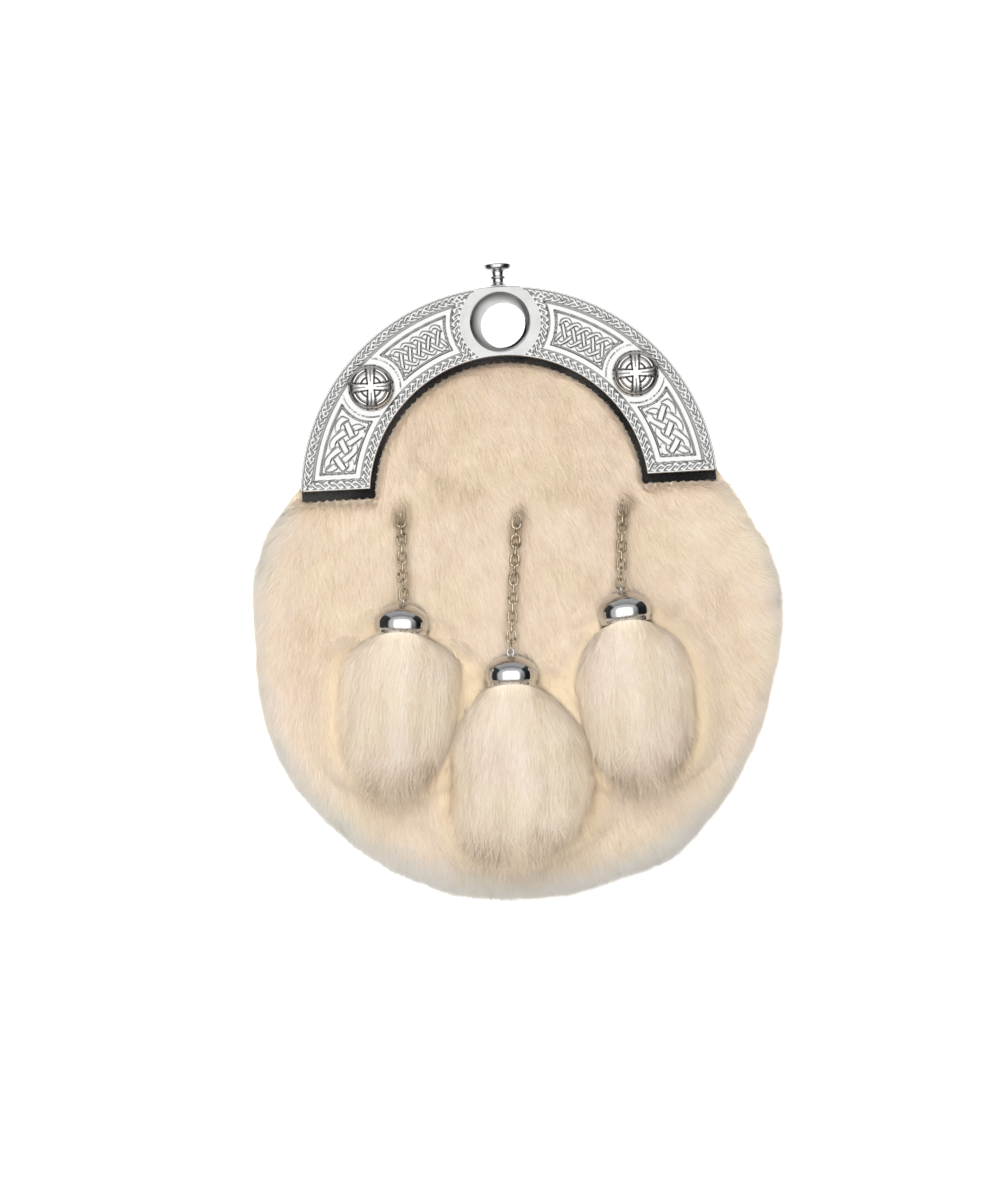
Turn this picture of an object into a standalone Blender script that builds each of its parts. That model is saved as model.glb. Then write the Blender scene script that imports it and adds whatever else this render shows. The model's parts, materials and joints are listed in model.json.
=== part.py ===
"""Full-dress sporran pouch, lying on its back.

X is its width, +Y runs up to the knob, and +Z is the fur front. The back rests at Z = 0.
A leather pouch carries a fur pelt, a cast cantle on a pinked leather backing, and three fur
tassels in bell caps, each on a cable chain.
"""
import math

import bmesh
import bpy
from mathutils import Matrix, Vector
from mathutils.geometry import delaunay_2d_cdt

# ---------------------------------------------------------------- driving sizes, in metres
GAP = 0.0003                 # between pieces that touch
WELD = 0.00001

# Cantle: a flat band round its arc centre, cut off level at both ends
CANTLE_R_OUT = 0.0784
CANTLE_R_IN = 0.0523
CANTLE_END = 0.0052          # the level ends, above the arc centre
CANTLE_THICK = 0.0040
RELIEF = 0.0010              # how far the ornament stands up from its ground
RING_RISE = 0.0650           # the round hole's centre, above the arc centre
RING_R_FRONT = 0.0114
RING_R_BACK = 0.0086
RING_COLLAR = 0.0152         # outside of the plain collar round the hole
BOSS_RISE_DEG = 40.9         # each boss, up from level, seen from the arc centre
BOSS_AT_R = 0.0656
BOSS_R = 0.0084
BOSS_HEIGHT = 0.0062
BOSS_COLLAR = 0.0124         # the panels stop this far from a boss's centre
KNOB_HEIGHT = 0.0086

# Widths across the cantle's borders, from each edge: outside, inside, ends, round the collar
BORDER = {"out": 0.0045, "in": 0.0035, "end": 0.0035, "ring": 0.0030}
GROOVE = 0.0006
FRAME = 0.0017
PANEL_GROUND = 0.0010        # bare ground between a panel's frame and its knot

# Backing leather
BACKING_THICK = 0.0020
BACKING_OUT = 0.0020         # hidden this far inside the cantle's outer edge
BACKING_IN = 0.0026          # shows this far past the inner edge
BACKING_END = 0.0034         # and this far past the ends
PINK_PITCH = 0.0030
PINK_DEPTH = 0.0009

# Pouch: two circles make its outline, a wide one for the belly and a top arc
FUR_R = 0.1000
LEATHER_R = 0.0880
POUCH_DROP = 0.0520          # belly centre below the cantle's arc centre
TOP_ARC_R = 0.0829
TOP_REACH = 0.0535           # top of the pouch above the cantle's arc centre
LEATHER = 0.0020
BACK_RISE = 0.0066           # the back steps up this far behind the belt loop
RIM_Z = 0.0160               # front face of the front panel at its rim
DOME = 0.0110
DOME_DROP = 0.0620           # dome centre below the cantle's arc centre
DOME_HALF_X = 0.0840
DOME_HALF_Y = 0.0800

# Fur
PELT_LIFT = 0.0014           # the skin lies this far over the domed front panel
SKIN = 0.0014
FUR_DEPTH = 0.0080
FUR_ROUND = 0.0160           # the fur's edge rounds off over this width
FUR_EDGE_Z = 0.0120
FUR_HEM_Z = 0.0055
BED_CLEAR = 0.0015           # the fur keeps this far from the backing

# Cable chain
WIRE_R = 0.00042
LINK_R = 0.00129             # bend of a link's ends, at the middle of the wire
LINK_HALF_STRAIGHT = 0.00109
LINK_PITCH = 2 * (LINK_HALF_STRAIGHT + LINK_R - WIRE_R) - GAP
EYE_R = 0.00125

# Caps and tassels
CAP_R = 0.0101
CAP_HEIGHT = 0.0115
CAP_WALL = 0.0009
TASSEL_ABOVE = 0.0120        # the tassel's half thickness over its axis
TASSEL_BELOW = 0.0085
TASSEL_DROOP = 0.0030        # its tip lies this much lower than the cap

# One row for each tassel. Places are from the cantle's arc centre; lean turns its foot to +X.
# Belly is the share of its length at which it is widest.
TASSELS = (
    # side, cap_x, cap_y (the cap's mouth), lean in degrees, length, half width, belly, links, chain_x
    ("left", -0.0428, -0.0500, -5.5, 0.0590, 0.0240, 0.34, 9, -0.0410),
    ("centre", -0.0032, -0.0712, -1.5, 0.0655, 0.0268, 0.52, 14, 0.0024),
    ("right", 0.0405, -0.0500, 5.0, 0.0610, 0.0230, 0.42, 9, 0.0422),
)
TASSEL_SECTIONS = (0.03, 0.10, 0.20, 0.31, 0.43, 0.55, 0.67, 0.78, 0.88, 0.96)
TASSEL_NECK = 0.42           # its width at the cap, as a share of its widest

# ---------------------------------------------------------------- places worked out from them
CANTLE_Y = (POUCH_DROP + FUR_R - CANTLE_R_OUT - KNOB_HEIGHT) / 2
POUCH_Y = CANTLE_Y - POUCH_DROP
TOP_ARC_Y = CANTLE_Y + TOP_REACH - TOP_ARC_R
DOME_Y = CANTLE_Y - DOME_DROP
PELT_TOP_Z = RIM_Z + PELT_LIFT + SKIN
BACKING_Z = PELT_TOP_Z + GAP
CANTLE_Z = BACKING_Z + BACKING_THICK + GAP
CANTLE_FACE_Z = CANTLE_Z + CANTLE_THICK

MATERIALS = {
    # name: colour, metallic, roughness
    "black_leather": ((0.018, 0.016, 0.015), 0.0, 0.5),
    "cream_fur": ((0.80, 0.66, 0.49), 0.0, 0.9),
    "tassel_fur": ((0.84, 0.72, 0.57), 0.0, 0.9),
    "chrome": ((0.78, 0.78, 0.79), 1.0, 0.12),
    "cast_chrome": ((0.74, 0.74, 0.75), 1.0, 0.28),
    "nickel": ((0.58, 0.53, 0.44), 1.0, 0.30),
}


# ---------------------------------------------------------------- scene and objects
def clear_scene():
    for thing in list(bpy.data.objects):
        bpy.data.objects.remove(thing, do_unlink=True)


def new_collection(name):
    made = bpy.data.collections.new(name)
    bpy.context.scene.collection.children.link(made)
    return made


clear_scene()
PARTS = new_collection("sporran_pouch")
CUTTERS = new_collection("sporran_cutters")
ROOT = bpy.data.objects.new("sporran", None)
PARTS.objects.link(ROOT)


def material(finish, name):
    colour, metallic, roughness = MATERIALS[finish]
    made = bpy.data.materials.new(name)
    made.use_nodes = True
    shader = made.node_tree.nodes["Principled BSDF"]
    shader.inputs["Base Color"].default_value = (*colour, 1.0)
    shader.inputs["Metallic"].default_value = metallic
    shader.inputs["Roughness"].default_value = roughness
    made.diffuse_color = (*colour, 1.0)
    return made


def add_part(name, mesh, finish, smooth=False):
    mesh.name = name
    mesh.materials.clear()
    mesh.materials.append(material(finish, name))
    if smooth:
        mesh.shade_smooth()
        mesh.set_sharp_from_angle(angle=math.radians(40))
    part = bpy.data.objects.new(name, mesh)
    PARTS.objects.link(part)
    part.parent = ROOT
    return part


def add_cutter(name, mesh):
    cutter = bpy.data.objects.new(name, mesh)
    cutter.hide_render = True
    cutter.display_type = "WIRE"
    CUTTERS.objects.link(cutter)
    return cutter


def add_boolean(part, cutter, operation, solver="EXACT"):
    step = part.modifiers.new(cutter.name, "BOOLEAN")
    step.operation = operation
    step.solver = solver
    step.object = cutter


def mesh_of(body, name):
    """The mesh of a bmesh, welded and with its faces pointing out."""
    bmesh.ops.remove_doubles(body, verts=body.verts, dist=WELD)
    bmesh.ops.recalc_face_normals(body, faces=body.faces)
    mesh = bpy.data.meshes.new(name)
    body.to_mesh(mesh)
    body.free()
    return mesh


def joined(name, first, second):
    """Two closed meshes made one by a union."""
    holder = bpy.data.objects.new(name + "_first", first)
    CUTTERS.objects.link(holder)
    other = add_cutter(name + "_second", second)
    add_boolean(holder, other, "UNION")
    made = bpy.data.meshes.new_from_object(
        holder.evaluated_get(bpy.context.evaluated_depsgraph_get()))
    bpy.data.objects.remove(holder)
    bpy.data.objects.remove(other)
    return made


# ---------------------------------------------------------------- shapes
def plate(name, loops, low, high):
    """A flat plate between two heights. A loop inside the first loop is a hole."""
    curve = bpy.data.curves.new(name, "CURVE")
    curve.dimensions = "2D"
    curve.fill_mode = "BOTH"
    curve.extrude = (high - low) / 2
    for loop in loops:
        spline = curve.splines.new("POLY")
        spline.points.add(len(loop) - 1)
        for point, (x, y) in zip(spline.points, loop):
            point.co = (x, y, 0.0, 1.0)
        spline.use_cyclic_u = True
    flat = bpy.data.objects.new(name + "_outline", curve)
    CUTTERS.objects.link(flat)
    mesh = bpy.data.meshes.new_from_object(
        flat.evaluated_get(bpy.context.evaluated_depsgraph_get()))
    bpy.data.objects.remove(flat)
    mesh.transform(Matrix.Translation((0.0, 0.0, (low + high) / 2)))
    body = bmesh.new()
    body.from_mesh(mesh)
    return mesh_of(body, name)


def turned(name, profile, sides, finish):
    """A turned piece round its own Z. The profile's (radius, height) rows run from the top down."""
    mesh = bpy.data.meshes.new(name)
    mesh.from_pydata([(radius, 0.0, height) for radius, height in profile],
                     [(i, i + 1) for i in range(len(profile) - 1)], [])
    part = add_part(name, mesh, finish)
    turn = part.modifiers.new("turn", "SCREW")
    turn.steps = turn.render_steps = sides
    turn.use_merge_vertices = True
    turn.merge_threshold = WELD
    turn.use_smooth_shade = True
    return part


def turned_mesh(name, profile, sides):
    """The plain mesh of a turned piece."""
    part = turned(name, profile, sides, "chrome")
    mesh = bpy.data.meshes.new_from_object(
        part.evaluated_get(bpy.context.evaluated_depsgraph_get()))
    bpy.data.objects.remove(part)
    return mesh


def ring_mesh(name, bend_r, wire_r, around, turn_deg=0.0):
    """A plain wire ring in its XY plane."""
    bpy.ops.mesh.primitive_torus_add(major_segments=around, minor_segments=5,
                                     major_radius=bend_r, minor_radius=wire_r)
    made = bpy.context.object
    mesh = made.data
    mesh.name = name
    bpy.data.objects.remove(made)
    mesh.transform(Matrix.Rotation(math.radians(turn_deg), 4, "Z"))
    return mesh


def loft(body, rings):
    """Faces between closed rings of equal count, from the first to the last."""
    for near, far in zip(rings, rings[1:]):
        count = len(near)
        for i in range(count):
            j = (i + 1) % count
            body.faces.new((near[i], near[j], far[j], far[i]))


def close_at(body, ring, tip, flip):
    count = len(ring)
    for i in range(count):
        a, b = ring[i], ring[(i + 1) % count]
        body.faces.new((b, a, tip) if flip else (a, b, tip))


def polar(radius, degrees, centre_y=CANTLE_Y):
    angle = math.radians(degrees)
    return radius * math.cos(angle), centre_y + radius * math.sin(angle)


# ---------------------------------------------------------------- the pouch's own outline
def leather_reach(degrees, belly_r=LEATHER_R):
    """Distance from the belly's centre to the pouch's outline, the wider of its two circles."""
    rise = TOP_ARC_Y - POUCH_Y
    angle = math.radians(degrees)
    top = rise * math.sin(angle) + math.sqrt(TOP_ARC_R ** 2 - (rise * math.cos(angle)) ** 2)
    return max(belly_r, top)


def front_face(x, y):
    """Height of the front panel's outer face."""
    share = 1.0 - (x / DOME_HALF_X) ** 2 - ((y - DOME_Y) / DOME_HALF_Y) ** 2
    return RIM_Z + DOME * max(0.0, share) ** 1.2


def back_face(y):
    """Height of the back panel's outer face: flat at the belly, stepped up behind the loop."""
    step_from, step_to = -0.002, 0.030
    share = min(1.0, max(0.0, (y - step_from) / (step_to - step_from)))
    return BACK_RISE * share * share * (3.0 - 2.0 * share)


def solidify(part, thickness, offset):
    wall = part.modifiers.new("leather", "SOLIDIFY")
    wall.thickness = thickness
    wall.offset = offset


def build_back_panel():
    """Rows across the back from its foot to its top, each as wide as the outline there."""
    body = bmesh.new()
    rows = []
    half_rows = 17
    for step in range(1, 2 * half_rows):
        degrees = -90.0 + 180.0 * step / (2 * half_rows)
        x, y = polar(leather_reach(degrees), degrees, POUCH_Y)
        rows.append([body.verts.new((side * x, y, back_face(y))) for side in (-1, 1)])
    for (left, right), (left_up, right_up) in zip(rows, rows[1:]):
        body.faces.new((left, right, right_up, left_up))
    for row, degrees in ((rows[0], -90.0), (rows[-1], 90.0)):
        y = polar(leather_reach(degrees), degrees, POUCH_Y)[1]
        body.faces.new((row[0], row[1], body.verts.new((0.0, y, back_face(y)))))
    bmesh.ops.recalc_face_normals(body, faces=body.faces)
    if sum(face.normal.z for face in body.faces) < 0:
        bmesh.ops.reverse_faces(body, faces=body.faces)
    mesh = bpy.data.meshes.new("back_panel")
    body.to_mesh(mesh)
    body.free()
    solidify(add_part("back_panel", mesh, "black_leather"), LEATHER, 1.0)


def build_gusset():
    """The side wall, from one shoulder round the foot to the other. The top stays open."""
    shoulder = 38.0
    steps = 30
    body = bmesh.new()
    columns = []
    for step in range(steps + 1):
        degrees = shoulder - (180.0 + 2 * shoulder) * step / steps
        x, y = polar(leather_reach(degrees) - 0.0006, degrees, POUCH_Y)
        low = back_face(y) + LEATHER + GAP
        high = RIM_Z - LEATHER - GAP
        columns.append((body.verts.new((x, y, low)), body.verts.new((x, y, high))))
    for (low, high), (next_low, next_high) in zip(columns, columns[1:]):
        body.faces.new((low, high, next_high, next_low))
    outward = sum(face.normal.dot(face.calc_center_median() - Vector((0, POUCH_Y, 0)))
                  for face in body.faces if not face.normal_update())
    if outward < 0:
        bmesh.ops.reverse_faces(body, faces=body.faces)
    mesh = bpy.data.meshes.new("gusset")
    body.to_mesh(mesh)
    body.free()
    solidify(add_part("gusset", mesh, "black_leather"), LEATHER, -1.0)


def build_front_panel():
    """A domed shell; rings of equal shape from its middle out to the outline."""
    spokes = 28
    shares = (0.32, 0.60, 0.82, 1.0)
    body = bmesh.new()
    rings = []
    for share in shares:
        ring = []
        for spoke in range(spokes):
            degrees = 90.0 + 360.0 * spoke / spokes
            x, y = polar(share * leather_reach(degrees), degrees, POUCH_Y)
            ring.append(body.verts.new((x, y, front_face(x, y))))
        rings.append(ring)
    loft(body, rings)
    close_at(body, rings[0], body.verts.new((0.0, POUCH_Y, front_face(0.0, POUCH_Y))), True)
    bmesh.ops.recalc_face_normals(body, faces=body.faces)
    if sum(face.normal.z for face in body.faces) < 0:
        bmesh.ops.reverse_faces(body, faces=body.faces)
    mesh = bpy.data.meshes.new("front_panel")
    body.to_mesh(mesh)
    body.free()
    solidify(add_part("front_panel", mesh, "black_leather"), LEATHER, -1.0)


def build_belt_loop():
    """A plain strap on the back, bent into two feet; the sporran strap runs under it along X."""
    half_width, low_y, high_y, foot = 0.025, 0.038, 0.078, 0.004
    under = BACK_RISE - GAP
    side = (
        # y, z round the strap's section
        (low_y, 0.0), (high_y, 0.0), (high_y, under), (high_y - foot, under),
        (high_y - foot, LEATHER), (low_y + foot, LEATHER), (low_y + foot, under), (low_y, under),
    )
    body = bmesh.new()
    ends = [[body.verts.new((x, y, z)) for y, z in side] for x in (-half_width, half_width)]
    loft(body, ends)
    for end in ends:
        body.faces.new(end)
    add_part("belt_loop", mesh_of(body, "belt_loop"), "black_leather")


# ---------------------------------------------------------------- cantle
def off_circle(radius, centre_r, clear):
    """Angle in degrees between a circle's centre and its edge, along an arc of this radius."""
    share = (radius ** 2 + centre_r ** 2 - clear ** 2) / (2 * radius * centre_r)
    return math.degrees(math.acos(share))


def ring_side(clear):
    return lambda radius: 90.0 - off_circle(radius, RING_RISE, clear)


def end_side(height):
    return lambda radius: math.degrees(math.asin((CANTLE_END + height) / radius))


def boss_side(sign, clear):
    return lambda radius: BOSS_RISE_DEG + sign * off_circle(radius, BOSS_AT_R, clear)


def band_loop(r_in, r_out, low_side, high_side, along, across):
    """A closed loop in the right half of the band, between two arcs and two shaped sides."""
    points = []
    for step in range(along):
        share = step / along
        points.append((r_out, low_side(r_out) + share * (high_side(r_out) - low_side(r_out))))
    for step in range(across):
        radius = r_out + (r_in - r_out) * step / across
        points.append((radius, high_side(radius)))
    for step in range(along):
        share = step / along
        points.append((r_in, high_side(r_in) + share * (low_side(r_in) - high_side(r_in))))
    for step in range(across):
        radius = r_in + (r_out - r_in) * step / across
        points.append((radius, low_side(radius)))
    return [polar(radius, degrees) for radius, degrees in points]


def circle(centre, radius, count):
    return [(centre[0] + radius * math.cos(2 * math.pi * i / count),
             centre[1] + radius * math.sin(2 * math.pi * i / count)) for i in range(count)]


def mirrored(loop):
    return [(-x, y) for x, y in reversed(loop)]


def knot_pits(middle_deg):
    """Lozenge pits between a knot's crossing strands, in staggered rows along the band."""
    middle_r = (CANTLE_R_OUT - BORDER["out"] + CANTLE_R_IN + BORDER["in"]) / 2
    rows, row_step, column, half_long, half_wide = 5, 0.0038, 0.0029, 0.0015, 0.0013
    pits = []
    for row in range(rows):
        along = (row - (rows - 1) / 2) * row_step
        for across in ((-column, column) if row % 2 == 0 else (0.0,)):
            corners = ((half_long, 0.0), (0.0, half_wide), (-half_long, 0.0), (0.0, -half_wide))
            pits.append([
                polar(middle_r + across + wide,
                      middle_deg + math.degrees((along + long) / middle_r))
                for long, wide in corners])
    return pits


def relief_groups():
    """What lies below the cantle's face in its right half: each an outline and what it leaves."""
    groove_in = {edge: width + GROOVE for edge, width in BORDER.items()}
    panel = {edge: width + FRAME for edge, width in groove_in.items()}
    groove, low_panel, high_panel = [], [], []
    for inset in (BORDER, groove_in):
        groove.append(band_loop(CANTLE_R_IN + inset["in"], CANTLE_R_OUT - inset["out"],
                                end_side(inset["end"]), ring_side(RING_COLLAR + inset["ring"]),
                                11, 3))
    for ground in (0.0, PANEL_GROUND):
        r_in = CANTLE_R_IN + panel["in"] + ground
        r_out = CANTLE_R_OUT - panel["out"] - ground
        low_panel.append(band_loop(r_in, r_out, end_side(panel["end"] + ground),
                                   boss_side(-1, BOSS_COLLAR + ground), 4, 3))
        high_panel.append(band_loop(r_in, r_out, boss_side(1, BOSS_COLLAR + ground),
                                    ring_side(RING_COLLAR + panel["ring"] + ground), 4, 3))
    low = (end_side(panel["end"])(BOSS_AT_R) + boss_side(-1, BOSS_COLLAR)(BOSS_AT_R)) / 2
    high = (boss_side(1, BOSS_COLLAR)(BOSS_AT_R)
            + ring_side(RING_COLLAR + panel["ring"])(BOSS_AT_R)) / 2
    pits = [[pit] for pit in knot_pits(low) + knot_pits(high)]
    return [groove, low_panel, high_panel] + pits


def holds(loop, x, y):
    """True where a point lies inside a closed loop."""
    inside = False
    for (x1, y1), (x2, y2) in zip(loop, loop[1:] + loop[:1]):
        if (y1 > y) != (y2 > y) and x < x1 + (y - y1) * (x2 - x1) / (y2 - y1):
            inside = not inside
    return inside


def flat_triangles(loops):
    """Triangles over all the loops' points, as indices into those points, one loop after another."""
    points, edges = [], []
    for loop in loops:
        first = len(points)
        points += [Vector(point) for point in loop]
        edges += [(first + i, first + (i + 1) % len(loop)) for i in range(len(loop))]
    _, _, faces, sources, _, _ = delaunay_2d_cdt(points, edges, [], 0, 1e-7)
    return points, [[sources[i][0] for i in face] for face in faces]


def relief_plate(name, outline, hole, hole_back, sunk):
    """The cast plate: level ground and level ornament, walls between them, and a tapered hole."""
    loops = [outline, hole] + [loop for group in sunk for loop in group]
    points, triangles = flat_triangles(loops)
    body = bmesh.new()
    corners = {}

    def corner(index, height):
        if (index, height) not in corners:
            x, y = points[index]
            corners[index, height] = body.verts.new((x, y, height))
        return corners[index, height]

    def level(triangle):
        x, y = sum((points[i] for i in triangle), Vector((0.0, 0.0))) / 3
        if not holds(outline, x, y) or holds(hole, x, y):
            return None
        in_ground = any(holds(group[0], x, y) and not any(holds(loop, x, y) for loop in group[1:])
                        for group in sunk)
        return CANTLE_FACE_Z - RELIEF if in_ground else CANTLE_FACE_Z
    sides = {}
    for triangle in triangles:
        height = level(triangle)
        if height is None:
            continue
        body.faces.new([corner(i, height) for i in triangle])
        for i, j in zip(triangle, triangle[1:] + triangle[:1]):
            sides.setdefault((min(i, j), max(i, j)), []).append(height)
    back = outline + hole_back
    back_corners = [body.verts.new((x, y, CANTLE_Z)) for x, y in back]
    for (i, j), heights in sides.items():
        if len(heights) == 1:
            body.faces.new((corner(i, heights[0]), corner(j, heights[0]),
                            back_corners[j], back_corners[i]))
        elif heights[0] != heights[1]:
            body.faces.new((corner(i, heights[0]), corner(j, heights[0]),
                            corner(j, heights[1]), corner(i, heights[1])))
    for triangle in flat_triangles([outline, hole_back])[1]:
        x, y = sum((Vector(back[i]) for i in triangle), Vector((0.0, 0.0))) / 3
        if holds(outline, x, y) and not holds(hole_back, x, y):
            body.faces.new([back_corners[i] for i in triangle])
    bmesh.ops.recalc_face_normals(body, faces=body.faces)
    mesh = bpy.data.meshes.new(name)
    body.to_mesh(mesh)
    body.free()
    return mesh


def build_cantle():
    """One cast plate with its ornament standing proud, and a hole that narrows to the back."""
    arc_out, arc_in = 44, 34
    edge_out = math.degrees(math.asin(CANTLE_END / CANTLE_R_OUT))
    edge_in = math.degrees(math.asin(CANTLE_END / CANTLE_R_IN))
    outline = [polar(CANTLE_R_OUT, edge_out + (180.0 - 2 * edge_out) * i / arc_out)
               for i in range(arc_out + 1)]
    outline += [polar(CANTLE_R_IN, 180.0 - edge_in - (180.0 - 2 * edge_in) * i / arc_in)
                for i in range(arc_in + 1)]
    right = relief_groups()
    left = [[mirrored(loop) for loop in loops] for loops in right]
    centre = (0.0, CANTLE_Y + RING_RISE)
    add_part("cantle", relief_plate("cantle", outline, circle(centre, RING_R_FRONT, 24),
                                    circle(centre, RING_R_BACK, 24), right + left),
             "cast_chrome")


def pinked(start, stop):
    """Zigzag points along a run from start to stop; each is a function of the tooth's depth."""
    length = math.dist(start, stop)
    teeth = max(1, round(length / PINK_PITCH))
    way = ((stop[0] - start[0]) / length, (stop[1] - start[1]) / length)
    points = []
    for tooth in range(teeth):
        for share, depth in ((tooth / teeth, 0.0), ((tooth + 0.5) / teeth, PINK_DEPTH)):
            x = start[0] + share * (stop[0] - start[0]) + way[1] * depth
            y = start[1] + share * (stop[1] - start[1]) - way[0] * depth
            points.append((x, y))
    return points


def build_backing():
    """The leather under the cantle: plain at its outer edge, pinked where it shows."""
    r_out = CANTLE_R_OUT - BACKING_OUT
    r_in = CANTLE_R_IN - BACKING_IN
    end_y = CANTLE_Y + CANTLE_END - BACKING_END
    rise = end_y - CANTLE_Y
    edge_out = math.degrees(math.asin(rise / r_out))
    edge_in = math.degrees(math.asin(rise / r_in))
    arc = 30
    outline = [polar(r_out, edge_out + (180.0 - 2 * edge_out) * i / arc) for i in range(arc)]
    left_out, left_in = polar(r_out, 180.0 - edge_out), polar(r_in, 180.0 - edge_in)
    right_in, right_out = polar(r_in, edge_in), polar(r_out, edge_out)
    outline += pinked(left_in, left_out)[::-1][:-1]
    outline.insert(arc, left_out)
    teeth = round(math.radians(180.0 - 2 * edge_in) * r_in / PINK_PITCH)
    for tooth in range(teeth):
        for share, depth in ((tooth / teeth, 0.0), ((tooth + 0.5) / teeth, PINK_DEPTH)):
            degrees = 180.0 - edge_in - (180.0 - 2 * edge_in) * share
            outline.append(polar(r_in - depth + PINK_DEPTH / 2, degrees))
    outline.append(right_in)
    outline += pinked(right_out, right_in)[::-1][:-1]
    hole = circle((0.0, CANTLE_Y + RING_RISE), RING_R_BACK + 0.0008, 20)
    add_part("cantle_backing", plate("cantle_backing", [outline, hole], BACKING_Z,
                                     BACKING_Z + BACKING_THICK), "black_leather")


def build_bosses():
    """Domed studs on the cantle's face. A ringed cross stands up from each dome."""
    dome = [(BOSS_R * math.sin(math.radians(a)), 0.0012 + (BOSS_HEIGHT - 0.0018)
             * math.cos(math.radians(a))) for a in (0, 22, 45, 68, 90)]
    base = turned_mesh("boss_dome", dome + [(BOSS_R, 0.0), (0.0, 0.0)], 16)
    raised = [(0.96 * radius, height + 0.0006) for radius, height in dome]
    cross_dome = turned_mesh("boss_cross_dome", raised + [(0.96 * BOSS_R, 0.0005), (0.0, 0.0005)],
                             16)
    holder = bpy.data.objects.new("boss_cross", cross_dome)
    CUTTERS.objects.link(holder)
    half_slim, half_wide, reach = 0.0007, 0.0026, 0.95 * BOSS_R
    arms = []
    for quarter in range(4):
        turn = Matrix.Rotation(math.radians(90 * quarter), 2)
        for out, across in ((reach, -half_wide), (reach, half_wide), (half_slim, half_slim)):
            x, y = turn @ Vector((out, across))
            arms.append((x, y))
    prism = add_cutter("boss_arms", plate("boss_arms", [arms], 0.0008, BOSS_HEIGHT + 0.001))
    add_boolean(holder, prism, "INTERSECT")
    cross = bpy.data.meshes.new_from_object(
        holder.evaluated_get(bpy.context.evaluated_depsgraph_get()))
    bpy.data.objects.remove(holder)
    bpy.data.objects.remove(prism)
    studded = joined("boss", base, cross)
    for name, side in (("boss_left", -1), ("boss_right", 1)):
        boss = add_part(name, studded.copy(), "chrome", smooth=True)
        x, y = polar(BOSS_AT_R, BOSS_RISE_DEG)
        boss.location = (side * x, y, CANTLE_FACE_Z + GAP)
        boss.rotation_euler.z = -side * math.radians(90.0 - BOSS_RISE_DEG)


def build_knob():
    """A turned finial with a dished head, on the cantle's top edge."""
    foot = GAP
    profile = (
        # radius, height over the cantle's edge
        (0.0, KNOB_HEIGHT - 0.0007), (0.0038, KNOB_HEIGHT), (0.00505, KNOB_HEIGHT - 0.0006),
        (0.0047, KNOB_HEIGHT - 0.0021), (0.0024, KNOB_HEIGHT - 0.0027),
        (0.0021, 0.0040), (0.0027, 0.0033), (0.0021, 0.0026), (0.0023, 0.0014),
        (0.0032, foot), (0.0, foot),
    )
    knob = turned("knob", profile, 10, "chrome")
    knob.location = (0.0, CANTLE_Y + CANTLE_R_OUT, CANTLE_Z + CANTLE_THICK / 2)
    knob.rotation_euler.x = math.radians(-90.0)


# ---------------------------------------------------------------- tassels, caps and chains
def tassel_frame(row):
    """Where a tassel's cap mouth lies, and the way its axis points to the tip."""
    _, cap_x, cap_y, lean, *_ = row
    x, y = cap_x, CANTLE_Y + cap_y
    z = front_face(x, y) + PELT_LIFT + SKIN + CAP_R + 3 * GAP
    angle = math.radians(lean)
    return Vector((x, y, z)), Vector((math.sin(angle), -math.cos(angle), 0.0))


def tassel_width(share, belly):
    """Width at a share of the length, over the widest: a swelling neck, then a rounded foot."""
    if share < belly:
        return 1.0 - (1.0 - TASSEL_NECK) * ((belly - share) / belly) ** 2.2
    return (1.0 - ((share - belly) / (1.0 - belly)) ** 2.3) ** 0.6


def tassel_ring(body, place, way, half_wide, above, below, count, tuft):
    """One cross-section of a tassel. tuft(i) scales each point, for the locks."""
    across = Vector((-way.y, way.x, 0.0))
    ring = []
    for i in range(count):
        angle = 2 * math.pi * i / count
        swell = tuft(i)
        height = (above if math.sin(angle) > 0 else below) * math.sin(angle) * swell
        ring.append(body.verts.new(place + across * (half_wide * math.cos(angle) * swell)
                                   + Vector((0.0, 0.0, height))))
    return ring


def tassel_mesh(row, around, grow, locks):
    """A tassel from inside its cap to its tip, or the hollow that it presses in the fur."""
    side, _, _, _, length, half_wide, belly, *_ = row
    mouth, way = tassel_frame(row)
    body = bmesh.new()
    rings = []
    if locks:
        neck = ((-0.0065, 0.0052), (-0.0030, 0.0080), (-0.0002, 0.0086))
    else:
        neck = ((-CAP_HEIGHT, 0.0060), (-0.0070, CAP_R + grow), (-0.0002, CAP_R + grow))
    for along, radius in neck:
        rings.append(tassel_ring(body, mouth + way * along, way, radius, radius, radius, around,
                                 lambda i: 1.0))
    sections = TASSEL_SECTIONS if locks else TASSEL_SECTIONS[::2] + TASSEL_SECTIONS[-1:]
    for step, share in enumerate(sections):
        width = tassel_width(share, belly)
        place = mouth + way * (share * length)
        place.z -= TASSEL_DROOP * share
        thick = width ** 0.75
        low = max(TASSEL_BELOW * thick, min(CAP_R, half_wide * width) if step == 0 else 0.0)

        def tuft(i, step=step):
            ridge = 1.0 if (i + step // 2) % 2 == 0 else 0.93
            return ridge - 0.03 * (step % 2) if locks else 1.0
        rings.append(tassel_ring(body, place, way, half_wide * width + grow,
                                 max(TASSEL_ABOVE * thick, 0.0) + grow, low + grow, around, tuft))
    loft(body, rings)
    tip = mouth + way * (length + grow)
    tip.z -= TASSEL_DROOP
    root = mouth + way * (neck[0][0] - 0.001)
    close_at(body, rings[0], body.verts.new(root), True)
    close_at(body, rings[-1], body.verts.new(tip), False)
    return mesh_of(body, "tassel_" + side)


def build_tassels():
    for row in TASSELS:
        add_part("tassel_" + row[0], tassel_mesh(row, 14, 0.0, True), "tassel_fur")


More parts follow.
